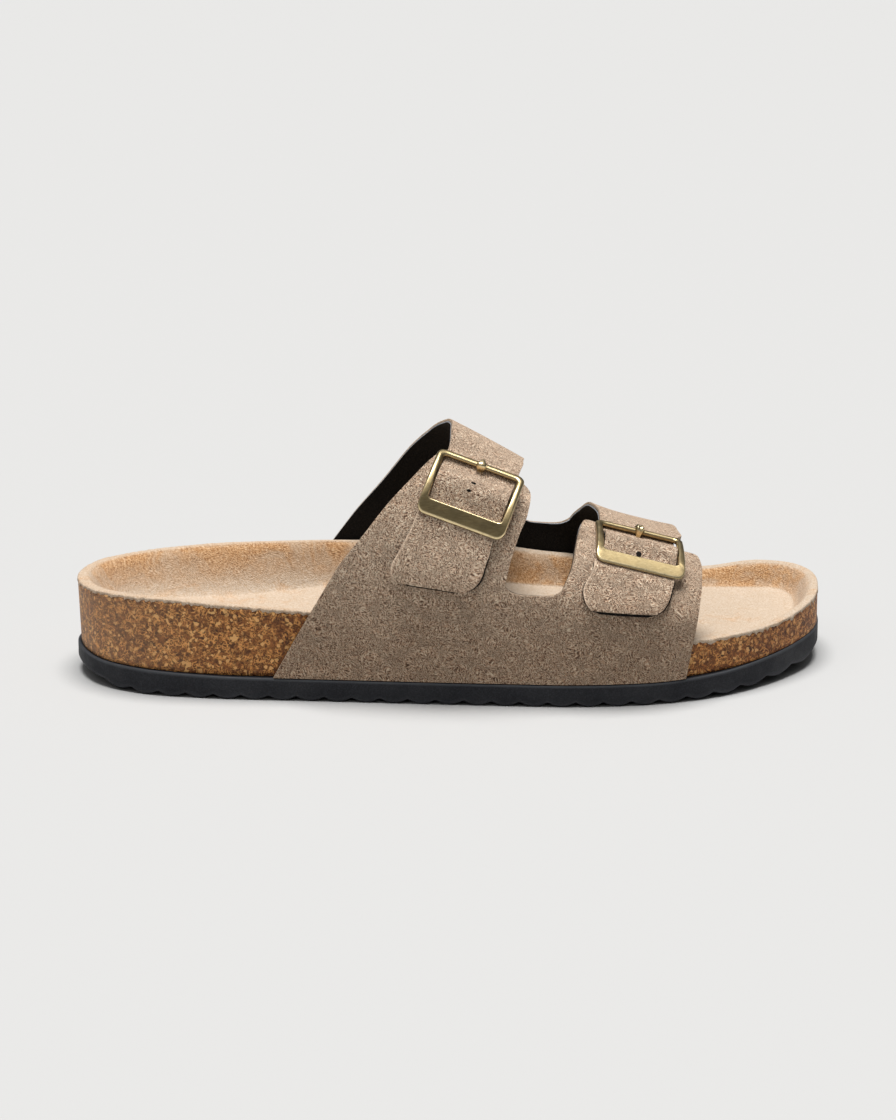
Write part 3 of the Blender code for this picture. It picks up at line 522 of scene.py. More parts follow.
def corkBoard():
    look = corkLook
    material, tree, shader = newMaterial("corkGranules")
    place = objectPlace(tree)
    push = {0: drifting(tree, place, look["push"], 2.0), 1: look["pushBy"], 2: place}
    bent = addNode(tree, "VectorMath", push, operation="MULTIPLY_ADD").outputs[0]
    edges = {"Vector": bent, "Scale": look["grain"]}
    border = addNode(tree, "TexVoronoi", edges, feature="DISTANCE_TO_EDGE").outputs["Distance"]
    crumb = noise(tree, bent, *look["crumb"])
    fine = times(tree, fromTo(tree, crumb, *look["crumbSpan"]), look["crumbShare"])
    grain = times(tree, cells(tree, bent, look["grain"])[1], 1 - look["crumbShare"])
    colour = ramp(tree, calc(tree, "ADD", grain, fine), look["tones"])
    colour = mixColour(tree, fromTo(tree, border, *look["borderSpan"]), colour, look["borderColour"])
    distance, phase = cells(tree, bent, look["whorl"])[:2]
    phase = times(tree, phase, look["whorlPhase"])
    arcs = calc(tree, "ADD", times(tree, distance, look["whorlPitch"]), phase)
    curls = fromTo(tree, calc(tree, "SINE", arcs), *look["whorlSpan"])
    for scale, level, thin, twist in look["curls"]:
        curl = calc(tree, "SUBTRACT", noise(tree, place, scale, 1.0, 0.5, twist), level)
        curl = fromTo(tree, calc(tree, "ABSOLUTE", curl), 0.0, thin, 1.0, 0.0)
        curls = calc(tree, "MAXIMUM", curls, curl)
    strand = times(tree, curls, graded(tree, place, *look["broken"]))
    colour = mixColour(tree, strand, colour, look["strandColour"])
    chip = cells(tree, place, look["chip"])[2]
    for name in ("pale", "dark"):
        colour = mixColour(tree, fromTo(tree, chip, *look[name + "Chips"]), colour, look[name + "Colour"])
    patch = graded(tree, place, *look["patch"])
    colour = mixColour(tree, patch, colour, look["patchColour"], "MULTIPLY")
    along = axisOf(tree, place, "X")
    colour = mixColour(tree, fromTo(tree, along, *look["toeSpan"]), colour, look["toeColour"], "MULTIPLY")
    # Painted sheen on the back of the heel
    colour = mixColour(tree, fromTo(tree, along, *look["heelSpan"]), colour, look["heelSheenColour"])
    tree.links.new(colour, shader.inputs["Base Color"])
    shader.inputs["Roughness"].default_value = 0.55
    shader.inputs["Specular IOR Level"].default_value = 0.35
    bumped(tree, shader, calc(tree, "ADD", strand, crumb), 0.5, 0.0005)
    return material


foamLook = {
    "grain": (1900.0, 2.0, 0.6),
    "tones": [(0.3, 25, 26, 30), (0.5, 35, 36, 41), (0.72, 48, 50, 55)],
    # Painted highlight with some wear: how far the marked bevels go towards a lighter grey, and that grey
    "wearAndHighlight": 0.6,
    "wearAndHighlightColour": screen(98, 101, 106),
    "cloud": ((60.0, 3.0, 0.6), (0.3, 0.7)),
    "cloudShare": 0.3,
    "cloudColour": screen(180, 182, 186),
    "rough": (0.55, 0.72),
}


def evaFoam():
    look = foamLook
    material, tree, shader = newMaterial("blackFoam")
    place = objectPlace(tree)
    grain = noise(tree, place, *look["grain"])
    cloud = graded(tree, place, *look["cloud"])
    # Painted highlight with some wear: lighter grey on the bevels marked by the edge value
    wearAndHighlight = times(tree, ownValue(tree, "edge"), look["wearAndHighlight"])
    colour = mixColour(tree, wearAndHighlight, ramp(tree, grain, look["tones"]), look["wearAndHighlightColour"])
    colour = mixColour(tree, times(tree, cloud, look["cloudShare"]), colour, look["cloudColour"], "MULTIPLY")
    tree.links.new(colour, shader.inputs["Base Color"])
    tree.links.new(fromTo(tree, cloud, 0.0, 1.0, *look["rough"]), shader.inputs["Roughness"])
    shader.inputs["Specular IOR Level"].default_value = 0.3
    bumped(tree, shader, grain, 0.25, 0.0003)
    return material


brassLook = {
    "streak": (0.15, 1.0, 1.0),
    "streakTurn": (0.0, 0.3, 0.0),
    "brushed": (3000.0, 2.0, 0.6),
    "dull": [(0.3, 152, 134, 98), (0.5, 165, 147, 109), (0.7, 178, 160, 121)],
    "bright": screen(244, 223, 176),
    "brightSpan": (1.0, 0.75),
    "tarnish": ((240.0, 4.0, 0.65, 0.5), (0.35, 0.7)),
    "tarnishShare": 0.25,
    "tarnishColour": screen(170, 160, 140),
    "rough": (0.32, 0.42),
    "polish": -0.06,
}


def brassMetal():
    look = brassLook
    material, tree, shader = newMaterial("agedBrass")
    place = objectPlace(tree)
    lay = {"Vector": place, "Scale": look["streak"], "Rotation": look["streakTurn"]}
    brushed = noise(tree, addNode(tree, "Mapping", lay).outputs[0], *look["brushed"])
    tarnish = graded(tree, place, *look["tarnish"])
    # Rubbed-bright brass on the marked corners, partly wear and partly painted highlight; tarnish dims it
    bright = times(tree, ownValue(tree, "edge"), fromTo(tree, tarnish, 0.0, 1.0, *look["brightSpan"]))
    stain = times(tree, tarnish, look["tarnishShare"])
    dull = mixColour(tree, stain, ramp(tree, brushed, look["dull"]), look["tarnishColour"], "MULTIPLY")
    tree.links.new(mixColour(tree, bright, dull, look["bright"]), shader.inputs["Base Color"])
    shader.inputs["Metallic"].default_value = 1.0
    rough = fromTo(tree, tarnish, 0.0, 1.0, *look["rough"])
    rough = calc(tree, "ADD", rough, times(tree, bright, look["polish"]))
    tree.links.new(rough, shader.inputs["Roughness"])
    bumped(tree, shader, brushed, 0.015, 0.0002)
    return material


beigeSuede = footbedSuede()
cork = corkBoard()
foam = evaFoam()
brass = brassMetal()
print("materials made")

# The outsole: bevelled tread, straight wall, thin lip, and cross grooves under it
outsoleShape = {
    "stations": 520,
    "treadBevel": 1.2,
    "treadRise": 1.0,
    "lipBevel": 0.5,
    "grooveFirst": 22.0,
    "groovePitch": 10.4,
    "grooveCount": 25,
    "ribPower": 1.7,
    "wallRipple": 0.9,
    "grooveDepth": 1.7,
    "treadRows": 26,
    "bevelRows": 5,
    "wallRows": (0.15, 0.35, 0.55, 0.75, 0.9),
    "topRows": (0.0, 0.06, 0.4, 1.0),
    # How light the tread and lip bevels are painted, highlight with some wear
    "treadWearAndHighlight": 0.25,
    "lipWearAndHighlight": 0.7,
}


def grooveRise(along):  # rounded ribs that meet in cusps, from the first groove to the last
    shape = outsoleShape
    off = (along - shape["grooveFirst"]) / shape["groovePitch"] - 0.5
    last = shape["grooveCount"] - 0.5
    rib = np.abs(2 * (off - np.rint(np.clip(off, -1, last))))
    return shape["grooveDepth"] * np.clip(rib, 0, 1) ** shape["ribPower"]


def buildOutsole():
    shape = outsoleShape
    plan, outward = soleStations(shape["stations"])
    lip = curveAt(levels, "lip", plan[:, 0])
    middle = spineOf(plan)
    bends = np.linspace(0, math.pi / 2, shape["bevelRows"])
    rings, wearAndHighlight = [], []

    def insetBy(inset):
        return plan + outward * (lip - inset)[:, None]

    def underAt(spot, rise=0.0, ripple=1.0):
        return curveAt(levels, "under", spot[:, 0]) + rise + ripple * grooveRise(spot[:, 0])

    def addRing(spot, height, edge=0.0):
        rings.append(raised(spot, height))
        wearAndHighlight.append(np.full(len(spot), edge))

    tread = insetBy(shape["treadBevel"])
    for share in np.linspace(1, 0, shape["treadRows"])[:-1]:
        spot = tread + (middle - tread) * share
        addRing(spot, underAt(spot))
    for turn in bends:
        spot = insetBy(shape["treadBevel"] * (1 - math.sin(turn)))
        share = 1 - math.cos(turn)
        height = underAt(spot, shape["treadRise"] * share, 1 - (1 - shape["wallRipple"]) * share)
        addRing(spot, height, shape["treadWearAndHighlight"])
    wall = insetBy(0.0)
    low = underAt(wall, shape["treadRise"], shape["wallRipple"])
    high = curveAt(levels, "seam", wall[:, 0]) - shape["lipBevel"]
    for share in shape["wallRows"]:
        addRing(wall, low + (high - low) * share)
    for turn in bends:
        spot = insetBy(shape["lipBevel"] * (1 - math.cos(turn)))
        height = curveAt(levels, "seam", spot[:, 0]) + shape["lipBevel"] * (math.sin(turn) - 1)
        addRing(spot, height, shape["lipWearAndHighlight"])
    top = insetBy(2 * shape["lipBevel"])
    for share in shape["topRows"]:
        spot = top + (middle - top) * share
        addRing(spot, curveAt(levels, "seam", spot[:, 0]))
    bm = bmesh.new()
    ringSkin(bm, rings, {"edge": wearAndHighlight})
    piece = finished("outsoleFoam", bm, [foam])
    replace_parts(piece, "outsole")


buildOutsole()
print("outsole made")

# The footbed: cork block and its suede cover, in rings from the rim in to the spine
footbed = {
    "stations": 260,
    "coverStations": 400,
    "rimRows": (0, 0.35, 0.8, 1.4),
    "wallRows": (2.2, 15.0, 34),
    "floorRows": 22,
    "sideRows": 14,
    "profile": {
        "inset": [0, 0.7, 2.4, 3.8, 5.4, 7.6, 10.4, 12.2, 13.4, 15],
        "rise": [1, 1, 1, 0.97, 0.87, 0.62, 0.22, 0.05, 0, 0],
        "heelRise": [1, 1, 1, 0.94, 0.81, 0.56, 0.27, 0.13, 0.06, 0],
        "drop": [0.12, 0, 0.05, 0.1, 0, 0, 0, 0, 0, 0],
    },
    "heelSpan": (80.0, 140.0),
    "heelFade": 0.6,
    "heelFadeSpan": (4.0, 12.0),
    # Browner along the rim and the top of the wall at the heel: this share, full out to 2.5 mm in from the
    # edge and gone by 4.5 mm
    "heelRimBrown": 0.25,
    "heelRimSpan": (4.5, 2.5),
    "wallStart": 3.6,
    "wallEarly": 1.9,
    "wallFade": 2.0,
    "wallEnd": 13.2,
    "wallEndFade": 1.4,
    "heelEndFade": 3.0,
    "medialShare": 0.4,
    "medialTurn": 1.2,
    "otherWall": 0.3,
    "toeWall": 0.72,
    "toeWallSpan": (190.0, 255.0),
    "archWall": 0.65,
    "archWallSpan": (50.0, 100.0),
    "archWallTurn": (-8.0, 8.0),
    "heelFlare": 0.9,
    "flareSpan": (70.0, 0.0),
    "flareFade": 3.0,
    "cover": 0.85,
    "gap": 0.3,
    "frayOut": 0.5,
    "frayDown": 1.4,
    "frayPower": 3,
    "fraySpread": 0.3,
}


def rimRing(plan, outward, inset):  # plan of one footbed ring, this far in from the edge
    shape = footbed
    steep = easeOver(plan[:, 0], *shape["toeWallSpan"])
    lean = easeOver(plan[:, 0], *shape["flareSpan"]) * max(0.0, 1 - inset / shape["flareFade"])
    arch = easeOver(plan[:, 0], *shape["archWallSpan"]) * (1 - steep)
    arch *= easeOver(plan[:, 1], *shape["archWallTurn"])
    narrow = 1 + (shape["toeWall"] - 1) * steep + (shape["archWall"] - 1) * arch
    return plan + outward * (shape["heelFlare"] * lean - inset * narrow)[:, None]


def footbedTop(plan, outward, sunk):  # rings from the rim to the spine, and how brown each place is
    shape = footbed
    atHeel = 1 - easeOver(plan[:, 0], *shape["heelSpan"])
    medial = ease(shape["medialShare"] + shape["medialTurn"] * outward[:, 1])
    rings, wall = [], []
    for inset in np.concatenate([shape["rimRows"], np.linspace(*shape["wallRows"])]):
        spot = rimRing(plan, outward, inset)
        rise = curveAt(shape["profile"], "rise", inset)
        rise = rise + (curveAt(shape["profile"], "heelRise", inset) - rise) * atHeel
        drop = curveAt(shape["profile"], "drop", inset)
        low = floorHeight(spot)
        rings.append(raised(spot, low + (rimHeight(spot) - low) * rise - drop - sunk))
        shade = ease((inset - shape["wallStart"] + shape["wallEarly"] * atHeel * medial) / shape["wallFade"])
        shade *= ease((shape["wallEnd"] - inset) / (shape["wallEndFade"] + shape["heelEndFade"] * atHeel))
        shade *= 1 - shape["heelFade"] * atHeel * easeOver(inset, *shape["heelFadeSpan"])
        shade *= shape["otherWall"] + (1 - shape["otherWall"]) * medial
        wall.append(np.maximum(shade, shape["heelRimBrown"] * atHeel * easeOver(inset, *shape["heelRimSpan"])))
    last = rimRing(plan, outward, shape["wallRows"][1])
    middle = spineOf(plan)
    for share in np.linspace(0, 1, shape["floorRows"])[1:]:
        spot = last + (middle - last) * share
        rings.append(raised(spot, floorHeight(spot) - sunk))
        wall.append(np.zeros(len(spot)))
    return rings, wall


def buildFootbed():
    shape = footbed
    plan, outward = soleStations(shape["stations"])
    low, foot = (
        raised(spot, curveAt(levels, "seam", spot[:, 0]) + shape["gap"]) for spot in (spineOf(plan), plan)
    )
    top, wall = footbedTop(plan, outward, shape["cover"])
    side = [foot + (top[0] - foot) * share for share in np.linspace(0, 1, shape["sideRows"])[1:-1]]
    bm = bmesh.new()
    ringSkin(bm, [low, foot] + side + top)
    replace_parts(finished("corkBlock", bm, [cork]), "footbed_cork")
    plan, outward = soleStations(shape["coverStations"])
    top, wall = footbedTop(plan, outward, 0.0)
    under, underWall = footbedTop(plan, outward, shape["cover"])
    torn = dice.random(len(plan)) ** shape["frayPower"]
    torn = torn + shape["fraySpread"] * (np.roll(torn, 1) - torn)
    for ring, part in ((top[0], 0.5), (top[1], 0.2), (under[0], 1.0)):
        ring[:, :2] += outward * (torn * shape["frayOut"] * part)[:, None]
        ring[:, 2] -= torn * shape["frayDown"] * part
    bm = bmesh.new()
    ringSkin(bm, under[::-1] + top, {"wall": underWall[::-1] + wall})
    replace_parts(finished("footbedCover", bm, [beigeSuede]), "footbed_lining")

buildFootbed()
print("footbed made")


# The last under the upper, as a fine grid of places and outward directions
lastAlong = np.linspace(60, 252, 385)
lastShare = np.linspace(0, 2, 321)


def lastGrid():
    grid = np.zeros((len(lastAlong), len(lastShare), 3))
    turn = np.linspace(0, math.pi / 2, 160)
    for i, along in enumerate(lastAlong):
        for side in ("lateral", "medial"):
            wall = edgeAt(along, side, footbed["gap"])
            middle = curveAt(instep, "across", along)
            spring = curveAt(instep, side + "Spring", along)
            power = 2 / curveAt(instep, "roundness", along)
            across = np.append(wall, middle + (wall - middle) * np.abs(np.cos(turn)) ** power)
            height = spring + (curveAt(instep, "crest", along) - spring) * np.sin(turn) ** power
            height = np.append(curveAt(levels, "seam", along) + footbed["gap"], height)
            girth = np.append(0, np.cumsum(np.hypot(np.diff(across), np.diff(height))))
            own = lastShare <= 1 if side == "lateral" else lastShare > 1
            reach = (lastShare[own] if side == "lateral" else 2 - lastShare[own]) * girth[-1]
            grid[i, own, 0] = along
            grid[i, own, 1] = np.interp(reach, girth, across)
            grid[i, own, 2] = np.interp(reach, girth, height)
    outward = np.cross(np.gradient(grid, axis=0), np.gradient(grid, axis=1))
    return grid, outward / np.linalg.norm(outward, axis=2)[:, :, None]


lastPoints, lastOut = lastGrid()


def onLast(along, share, lift):
    a = np.clip((along - lastAlong[0]) / (lastAlong[1] - lastAlong[0]), 0, len(lastAlong) - 1.001)
    s = np.clip(share / (lastShare[1] - lastShare[0]), 0, len(lastShare) - 1.001)
    i, j = a.astype(int), s.astype(int)
    f, g = (a - i)[:, None], (s - j)[:, None]

    def between(grid):
        near = grid[i, j] * (1 - g) + grid[i, j + 1] * g
        return near * (1 - f) + (grid[i + 1, j] * (1 - g) + grid[i + 1, j + 1] * g) * f

    return between(lastPoints) + between(lastOut) * np.reshape(lift, (-1, 1))


# Panels of the upper: run goes along one; a share is 0 at the lateral sole edge, 1 on the crest, 2 medial
rearTab = {
    "run": [0, 12, 23, 34, 45, 51],
    "back": [101, 110, 118.5, 127.5, 135.5, 140],
    "backShare": [0.35, 0.45, 0.55, 0.65, 0.75, 0.805],
    "front": [162, 164, 166.8, 169.8, 170.8, 170.5],
    "frontShare": [0.36, 0.45, 0.55, 0.65, 0.75, 0.81],
}
frontTab = {
    "run": [0, 10, 20, 30, 41],
    "back": [183, 186.5, 188, 189.5, 191.5],
    "backShare": [0.39, 0.5, 0.62, 0.74, 0.87],
    "front": [235, 235.6, 236, 235.6, 234.3],
    "frontShare": [0.45, 0.55, 0.66, 0.76, 0.865],
}
rearStrap = {
    "run": [0, 14, 28, 41, 54, 66, 79, 95, 112, 128, 144, 159],
    "back": [116.4, 123.7, 130, 134.9, 138.5, 140.3, 141.4, 140, 134.6, 126.1, 116.6, 105.2],
    "backShare": [0.32, 0.43, 0.545, 0.655, 0.765, 0.88, 1, 1.13, 1.25, 1.37, 1.5, 1.63],
    "front": [153, 155.6, 159.5, 163.6, 166.8, 167.4, 168, 169, 168.5, 168, 168, 169],
    "frontShare": [0.315, 0.43, 0.53, 0.645, 0.77, 0.89, 1, 1.15, 1.29, 1.41, 1.52, 1.6],
}
frontStrap = {
    "run": [0, 9, 17, 30.5, 43, 52, 62, 75, 90, 104, 114],
    "back": [187.2, 190.2, 193.6, 196.3, 197.5, 197.5, 196.8, 196, 194.8, 192.5, 188.5],
    "backShare": [0.325, 0.43, 0.52, 0.66, 0.8, 0.9, 1.02, 1.15, 1.31, 1.48, 1.59],
    "front": [223.5, 223.3, 224.7, 226.3, 228.4, 229.2, 229.6, 229.3, 228.9, 227.9, 227.4],
    "frontShare": [0.315, 0.43, 0.53, 0.7, 0.88, 0.98, 1.08, 1.2, 1.34, 1.46, 1.55],
}
upper = {
    "wall": 2.2,
    "suede": 1.4,
    "lining": 0.75,
    "strapSuede": 1.1,
    "strapLining": 0.55,
    "tabCorner": 5.0,
    "strapCorner": 9.5,
    "notchDip": 0.028,
    "lateralFoot": (76.0, 229.0),
    "medialFoot": (75.0, 229.0),
    "rearColumns": 44,
    "frontColumns": 38,
    "notchColumns": 18,
    "tabRows": 46,
    "bandRows": 40,
    "tabCrowd": 1.5,
    "strapCrowd": 0.04,
    "strapRow": 0.8,
    "sheetGap": 0.02,
    "joinLift": 1.7,
    "tunnelLift": 5.2,
    "tunnelHalf": 9.0,
    "tunnelMiddle": -1.0,
    "tipLift": 3.3,
    "levelHalf": 15.5,
    "levelFade": 8.0,
    "tautSpan": 19.0,
    "pinch": -0.015,
    "pinchAt": -12.5,
    "pinchReach": 2.6,
    "pinchSink": -0.3,
    "shy": 0.7,
    "shyReach": 26.0,
    "levelWidth": 28.0,
    "flareFrom": 8.5,
    "flareSpan": 5.0,
    "softEdge": 0.2,
}
rearRide = {
    "panel": rearStrap,
    "buckleRun": 40.3,
    "tabEnd": 62,
    "crestDown": 94,
    "barFall": 18.8,
    "barTurn": -7.5,
    "standOff": 0.75,
    "flare": 2.2,
}
frontRide = {
    "panel": frontStrap,
    "buckleRun": 29.8,
    "tabEnd": 53,
    "crestDown": 86,
    "barFall": 14.8,
    "barTurn": 3.1,
    "standOff": 1.1,
    "flare": 3.3,
}


def panelPlace(panel, run, across, corner=1.0, end=math.inf):  # on the last, its end's corners rounded
    columns = ("back", "backShare", "front", "frontShare")
    back, backShare, front, frontShare = (curveAt(panel, column, run) for column in columns)
    near = np.clip(1 - np.abs(run - end) / corner, 0, 1)
    pull = corner * (1 - np.sqrt(1 - near**2)) / np.maximum(front - back, 1)
    f = pull + (1 - 2 * pull) * across
    return back + (front - back) * f, backShare + (frontShare - backShare) * f


def bandTop(rear, front, dip):  # the row that joins two panels and rounds the notch between them
    f = np.linspace(0, 1, upper["notchColumns"] + 1)[1:-1]
    row = []
    for k, bow in ((0, 0.0), (1, dip * (1 - (2 * f - 1) ** 4))):
        notch = rear[k][-1] + (front[k][0] - rear[k][-1]) * f + bow
        row.append(np.concatenate([rear[k], notch, front[k]]))
    return row


def bandPlace(top, ends, footShare, across, climb):
    column = np.rint(across * (len(top[0]) - 1)).astype(int)
    along, share = top[0][column], top[1][column]
    foot = ends[0] + (ends[1] - ends[0]) * (along - top[0][0]) / (top[0][-1] - top[0][0])
    return foot + (along - foot) * climb, footShare + (share - footShare) * climb


def addPatch(bm, columns, rows, pointAt, marks=None):
    verts = bmesh.ops.create_grid(bm, x_segments=columns, y_segments=rows, size=1.0)["verts"]
    across, up = gridShares(verts)
    placed(verts, pointAt(across, up))
    for name, values in (marks(across, up) if marks else {}).items():
        layer = bm.verts.layers.float[name]
        for vert, value in zip(verts, values):
            vert[layer] = value
    return verts


def thickSheet(piece, thickness, edgeSlot):
    wall = piece.modifiers.new("wall", "SOLIDIFY")
    wall.thickness = thickness * mm
    wall.offset = -1.0
    wall.use_even_offset = True
    wall.use_quality_normals = True
    wall.material_offset_rim = edgeSlot
    soft = piece.modifiers.new("softEdge", "BEVEL")
    soft.width = upper["softEdge"] * mm
    soft.segments = 2
    soft.limit_method = "ANGLE"
    soft.angle_limit = math.radians(55)


def buildQuarter(name, lift, thickness, materials):
    shape = upper
    bm = bmesh.new()
    tops = []
    for panel, columns in ((rearTab, shape["rearColumns"]), (frontTab, shape["frontColumns"])):
        end = panel["run"][-1]

        def tabPoint(across, up):
            run = end * (1 - (1 - up) ** shape["tabCrowd"])
            along, share = panelPlace(panel, run, across, shape["tabCorner"], end)
            return onLast(along, share, lift)

        addPatch(bm, columns, shape["tabRows"], tabPoint)
        spread = np.linspace(0, 1, columns + 1)
        tops.append(panelPlace(panel, np.zeros(columns + 1), spread, shape["tabCorner"], end))
    top = bandTop(tops[0], tops[1], -shape["notchDip"])
    addPatch(bm, len(top[0]) - 1, shape["bandRows"],
             lambda across, up: onLast(*bandPlace(top, shape["lateralFoot"], 0.0, across, up), lift))
    bmesh.ops.remove_doubles(bm, verts=bm.verts, dist=2e-6)
    piece = finished(name, bm, materials)
    thickSheet(piece, thickness, 1)
    return piece


def seatOf(ride):  # level frame of a buckle: across the strap, along it to its tip, outward
    reach = buckle["high"] / 2 - buckle["seatInset"]
    runs = ride["buckleRun"] + np.array([reach, 0.0, -reach])
    high, centre, low = onLast(*panelPlace(ride["panel"], runs, np.full(3, 0.5)), 0.0)
    fall, turn = math.radians(ride["barFall"]), math.radians(ride["barTurn"])
    across = np.array([math.cos(turn) * math.cos(fall), math.sin(turn) * math.cos(fall), -math.sin(fall)])
    along = low - high - across * np.dot(low - high, across)
    along /= np.linalg.norm(along)
    out = np.cross(along, across)
    sag = -np.dot((high + low) / 2 - centre, out)
    bend = sag / (np.linalg.norm(low - high) / 2) ** 2
    origin = centre + out * ride["standOff"]
    return {"origin": origin, "across": across, "along": along, "out": out, "bend": bend}


def seatPoint(seat, across, along, lift):
    lift = lift - seat["bend"] * along**2
    spot = np.outer(across, seat["across"]) + np.outer(along, seat["along"]) + np.outer(lift, seat["out"])
    return seat["origin"] + spot


def loosePoint(ride, run, across, lift):  # off the last at the crest, over the tab, lifting at the tip
    shape = upper
    along, share = panelPlace(ride["panel"], run, across, shape["strapCorner"], 0.0)
    climb = easeOver(run, ride["crestDown"], ride["tabEnd"])
    tip = ease(1 - run / (ride["buckleRun"] - shape["levelHalf"]))
    rise = shape["joinLift"] * climb + (shape["tipLift"] - shape["joinLift"]) * tip
    return onLast(along, share, lift + rise)


def levelPoint(ride, seat, run, across, lift):  # level in its buckle, arched over the centre bar
    shape = upper
    past = ride["buckleRun"] - run
    bulge = np.clip((past - shape["tunnelMiddle"]) / shape["tunnelHalf"], -1, 1)
    rise = shape["joinLift"] + (shape["tunnelLift"] - shape["joinLift"]) * np.cos(bulge * math.pi / 2) ** 2
    pinch = np.exp(-(((past - shape["pinchAt"]) / shape["pinchReach"]) ** 2))
    half = shape["levelWidth"] / 2 * (1 - shape["pinch"] * pinch)
    spread = ride["flare"] * (1 - across) * ease((past - shape["flareFrom"]) / shape["flareSpan"])
    return seatPoint(seat, (across * 2 - 1) * half - spread, past, lift + rise - shape["pinchSink"] * pinch)


def strapPoint(ride, seat, run, across, lift, shy=0.0):
    shape = upper
    tip = np.clip(1 - run / shape["shyReach"], 0, 1)
    run = run + shy * tip
    across = across * (1 - shy * tip / shape["levelWidth"])
    top = np.full(len(run), ride["buckleRun"] + shape["levelHalf"])
    far = top + shape["tautSpan"]
    f = np.clip((run - top) / shape["tautSpan"], 0, 1)[:, None]
    levelPair = [levelPoint(ride, seat, top + step, across, lift) for step in (1, -1)]
    loosePair = [loosePoint(ride, far + step, across, lift) for step in (1, -1)]
    leave, reach = (levelPair[0] - levelPair[1]) / 2, (loosePair[0] - loosePair[1]) / 2
    taut = levelPoint(ride, seat, top, across, lift) * (1 + 2 * f) * (1 - f) ** 2
    taut = taut + loosePoint(ride, far, across, lift) * f * f * (3 - 2 * f)
    taut = taut + (leave * (1 - f) - reach * f) * shape["tautSpan"] * f * (1 - f)
    loose = loosePoint(ride, run, across, lift)
    levelFrom = ride["buckleRun"] - shape["levelHalf"]
    level = easeOver(run, levelFrom - shape["levelFade"], levelFrom)[:, None]
    low = loose + (levelPoint(ride, seat, run, across, lift) - loose) * level
    return np.where((run <= top)[:, None], low, np.where((run < far)[:, None], taut, loose))


def buildStraps(name, seats, lift, thickness, shy, materials):
    shape = upper
    bm = bmesh.new()
    for label in ("acrossStrap", "alongStrap"):
        bm.verts.layers.float.new(label)
    ends = []
    widths = (shape["rearColumns"], shape["frontColumns"])
    for ride, seat, columns in zip((rearRide, frontRide), seats, widths):
        reach = ride["panel"]["run"][-1]

        def runAt(up):
            return reach * (up - shape["strapCrowd"] * np.sin(math.pi * up) * (1 - up))

        def pointAt(across, up):
            return strapPoint(ride, seat, runAt(up), across, lift, shy)

        def marksAt(across, up):
            wide = (across * 2 - 1) * shape["levelWidth"] / 2
            return {"acrossStrap": wide, "alongStrap": ride["buckleRun"] - runAt(up)}

        addPatch(bm, columns, int(reach / shape["strapRow"]), pointAt, marksAt)
        run, spread = np.full(columns + 1, float(reach)), np.linspace(0, 1, columns + 1)
        ends.append(panelPlace(ride["panel"], run, spread, shape["strapCorner"], 0.0))
    top = bandTop(ends[0], ends[1], shape["notchDip"])
    addPatch(bm, len(top[0]) - 1, shape["bandRows"],
             lambda across, up: onLast(*bandPlace(top, shape["medialFoot"], 2.0, across, 1 - up), lift))
    bmesh.ops.remove_doubles(bm, verts=bm.verts, dist=2e-6)
    piece = finished(name, bm, materials)
    thickSheet(piece, thickness, 1)
    return piece


# Punched holes, each drawn as a small domed black disc on the strap: painted shade for the hole's depth, in
# the black lining's colour; across the strap, along it, half width, half length
holes = {
    "rear": [(-0.3, -1.9, 1.0, 0.5), (-1.0, 1.5, 0.85, 0.45)],
    "front": [(-0.5, 5.2, 1.05, 1.1), (0.7, -5.9, 0.9, 0.4)],
    "proud": 0.06,
    "dome": 0.12,
    "points": 20,
}


def buildHoles(name, ride, seat, spots):
    bm = bmesh.new()
    turn = np.linspace(0, 2 * math.pi, holes["points"], endpoint=False)
    for across, along, wide, tall in spots:
        rings = []
        for reach in (0.0, 0.5, 1.0):
            share = 0.5 + (across + wide * reach * np.cos(turn)) / upper["levelWidth"]
            run = ride["buckleRun"] - along - tall * reach * np.sin(turn)
            lift = upper["wall"] + holes["proud"] + holes["dome"] * (1 - reach)
            rings.append(strapPoint(ride, seat, run, share, lift, upper["shy"]))
        ringSkin(bm, rings)
    bm.normal_update()
    bmesh.ops.reverse_faces(bm, faces=[face for face in bm.faces if np.dot(face.normal, seat["out"]) < 0])
    finished(name, bm, [blackLining])


# Buckles: across the strap by along it, a round top bar and a flat keeper bar
buckle = {
    "long": 34.2,
    "high": 28.5,
    "corner": 3.2,
    "sideBar": 2.7,
    "topBar": 3.0,
    "keeperBar": 5.2,
    "windowCorner": 1.4,
    "lift": 4.3,
    "thick": 2.4,
    "sidePoints": 28,
    "cornerPoints": 8,
    "sectionPoints": 7,
    "bevel": 0.75,
    "keeperLean": 1.5,
    "centreBar": 1.8,
    "centreLift": 4.0,
    "seatInset": 1.0,
    "roundEnd": 4.0,
    "flatStart": 5.0,
    "roundWearAndHighlight": 0.3,
}


def roundedBox(halfLong, low, high, corner):
    points = []
    corners = ((halfLong, high, 0), (-halfLong, high, 90), (-halfLong, low, 180), (halfLong, low, 270))
    for x, y, start in corners:
        middle = np.array([x - math.copysign(corner, x), y - (corner if y == high else -corner)])
        for turn in np.radians(start + np.linspace(0, 90, buckle["cornerPoints"])):
            points.append(middle + corner * np.array([math.cos(turn), math.sin(turn)]))
    points = np.array(points)
    ring = []
    for k, point in enumerate(points):
        ring.append(point)
        if (k + 1) % buckle["cornerPoints"] == 0:
            there = points[(k + 1) % len(points)]
            ring += [point + (there - point) * f for f in np.linspace(0, 1, buckle["sidePoints"] + 2)[1:-1]]
    return np.array(ring)


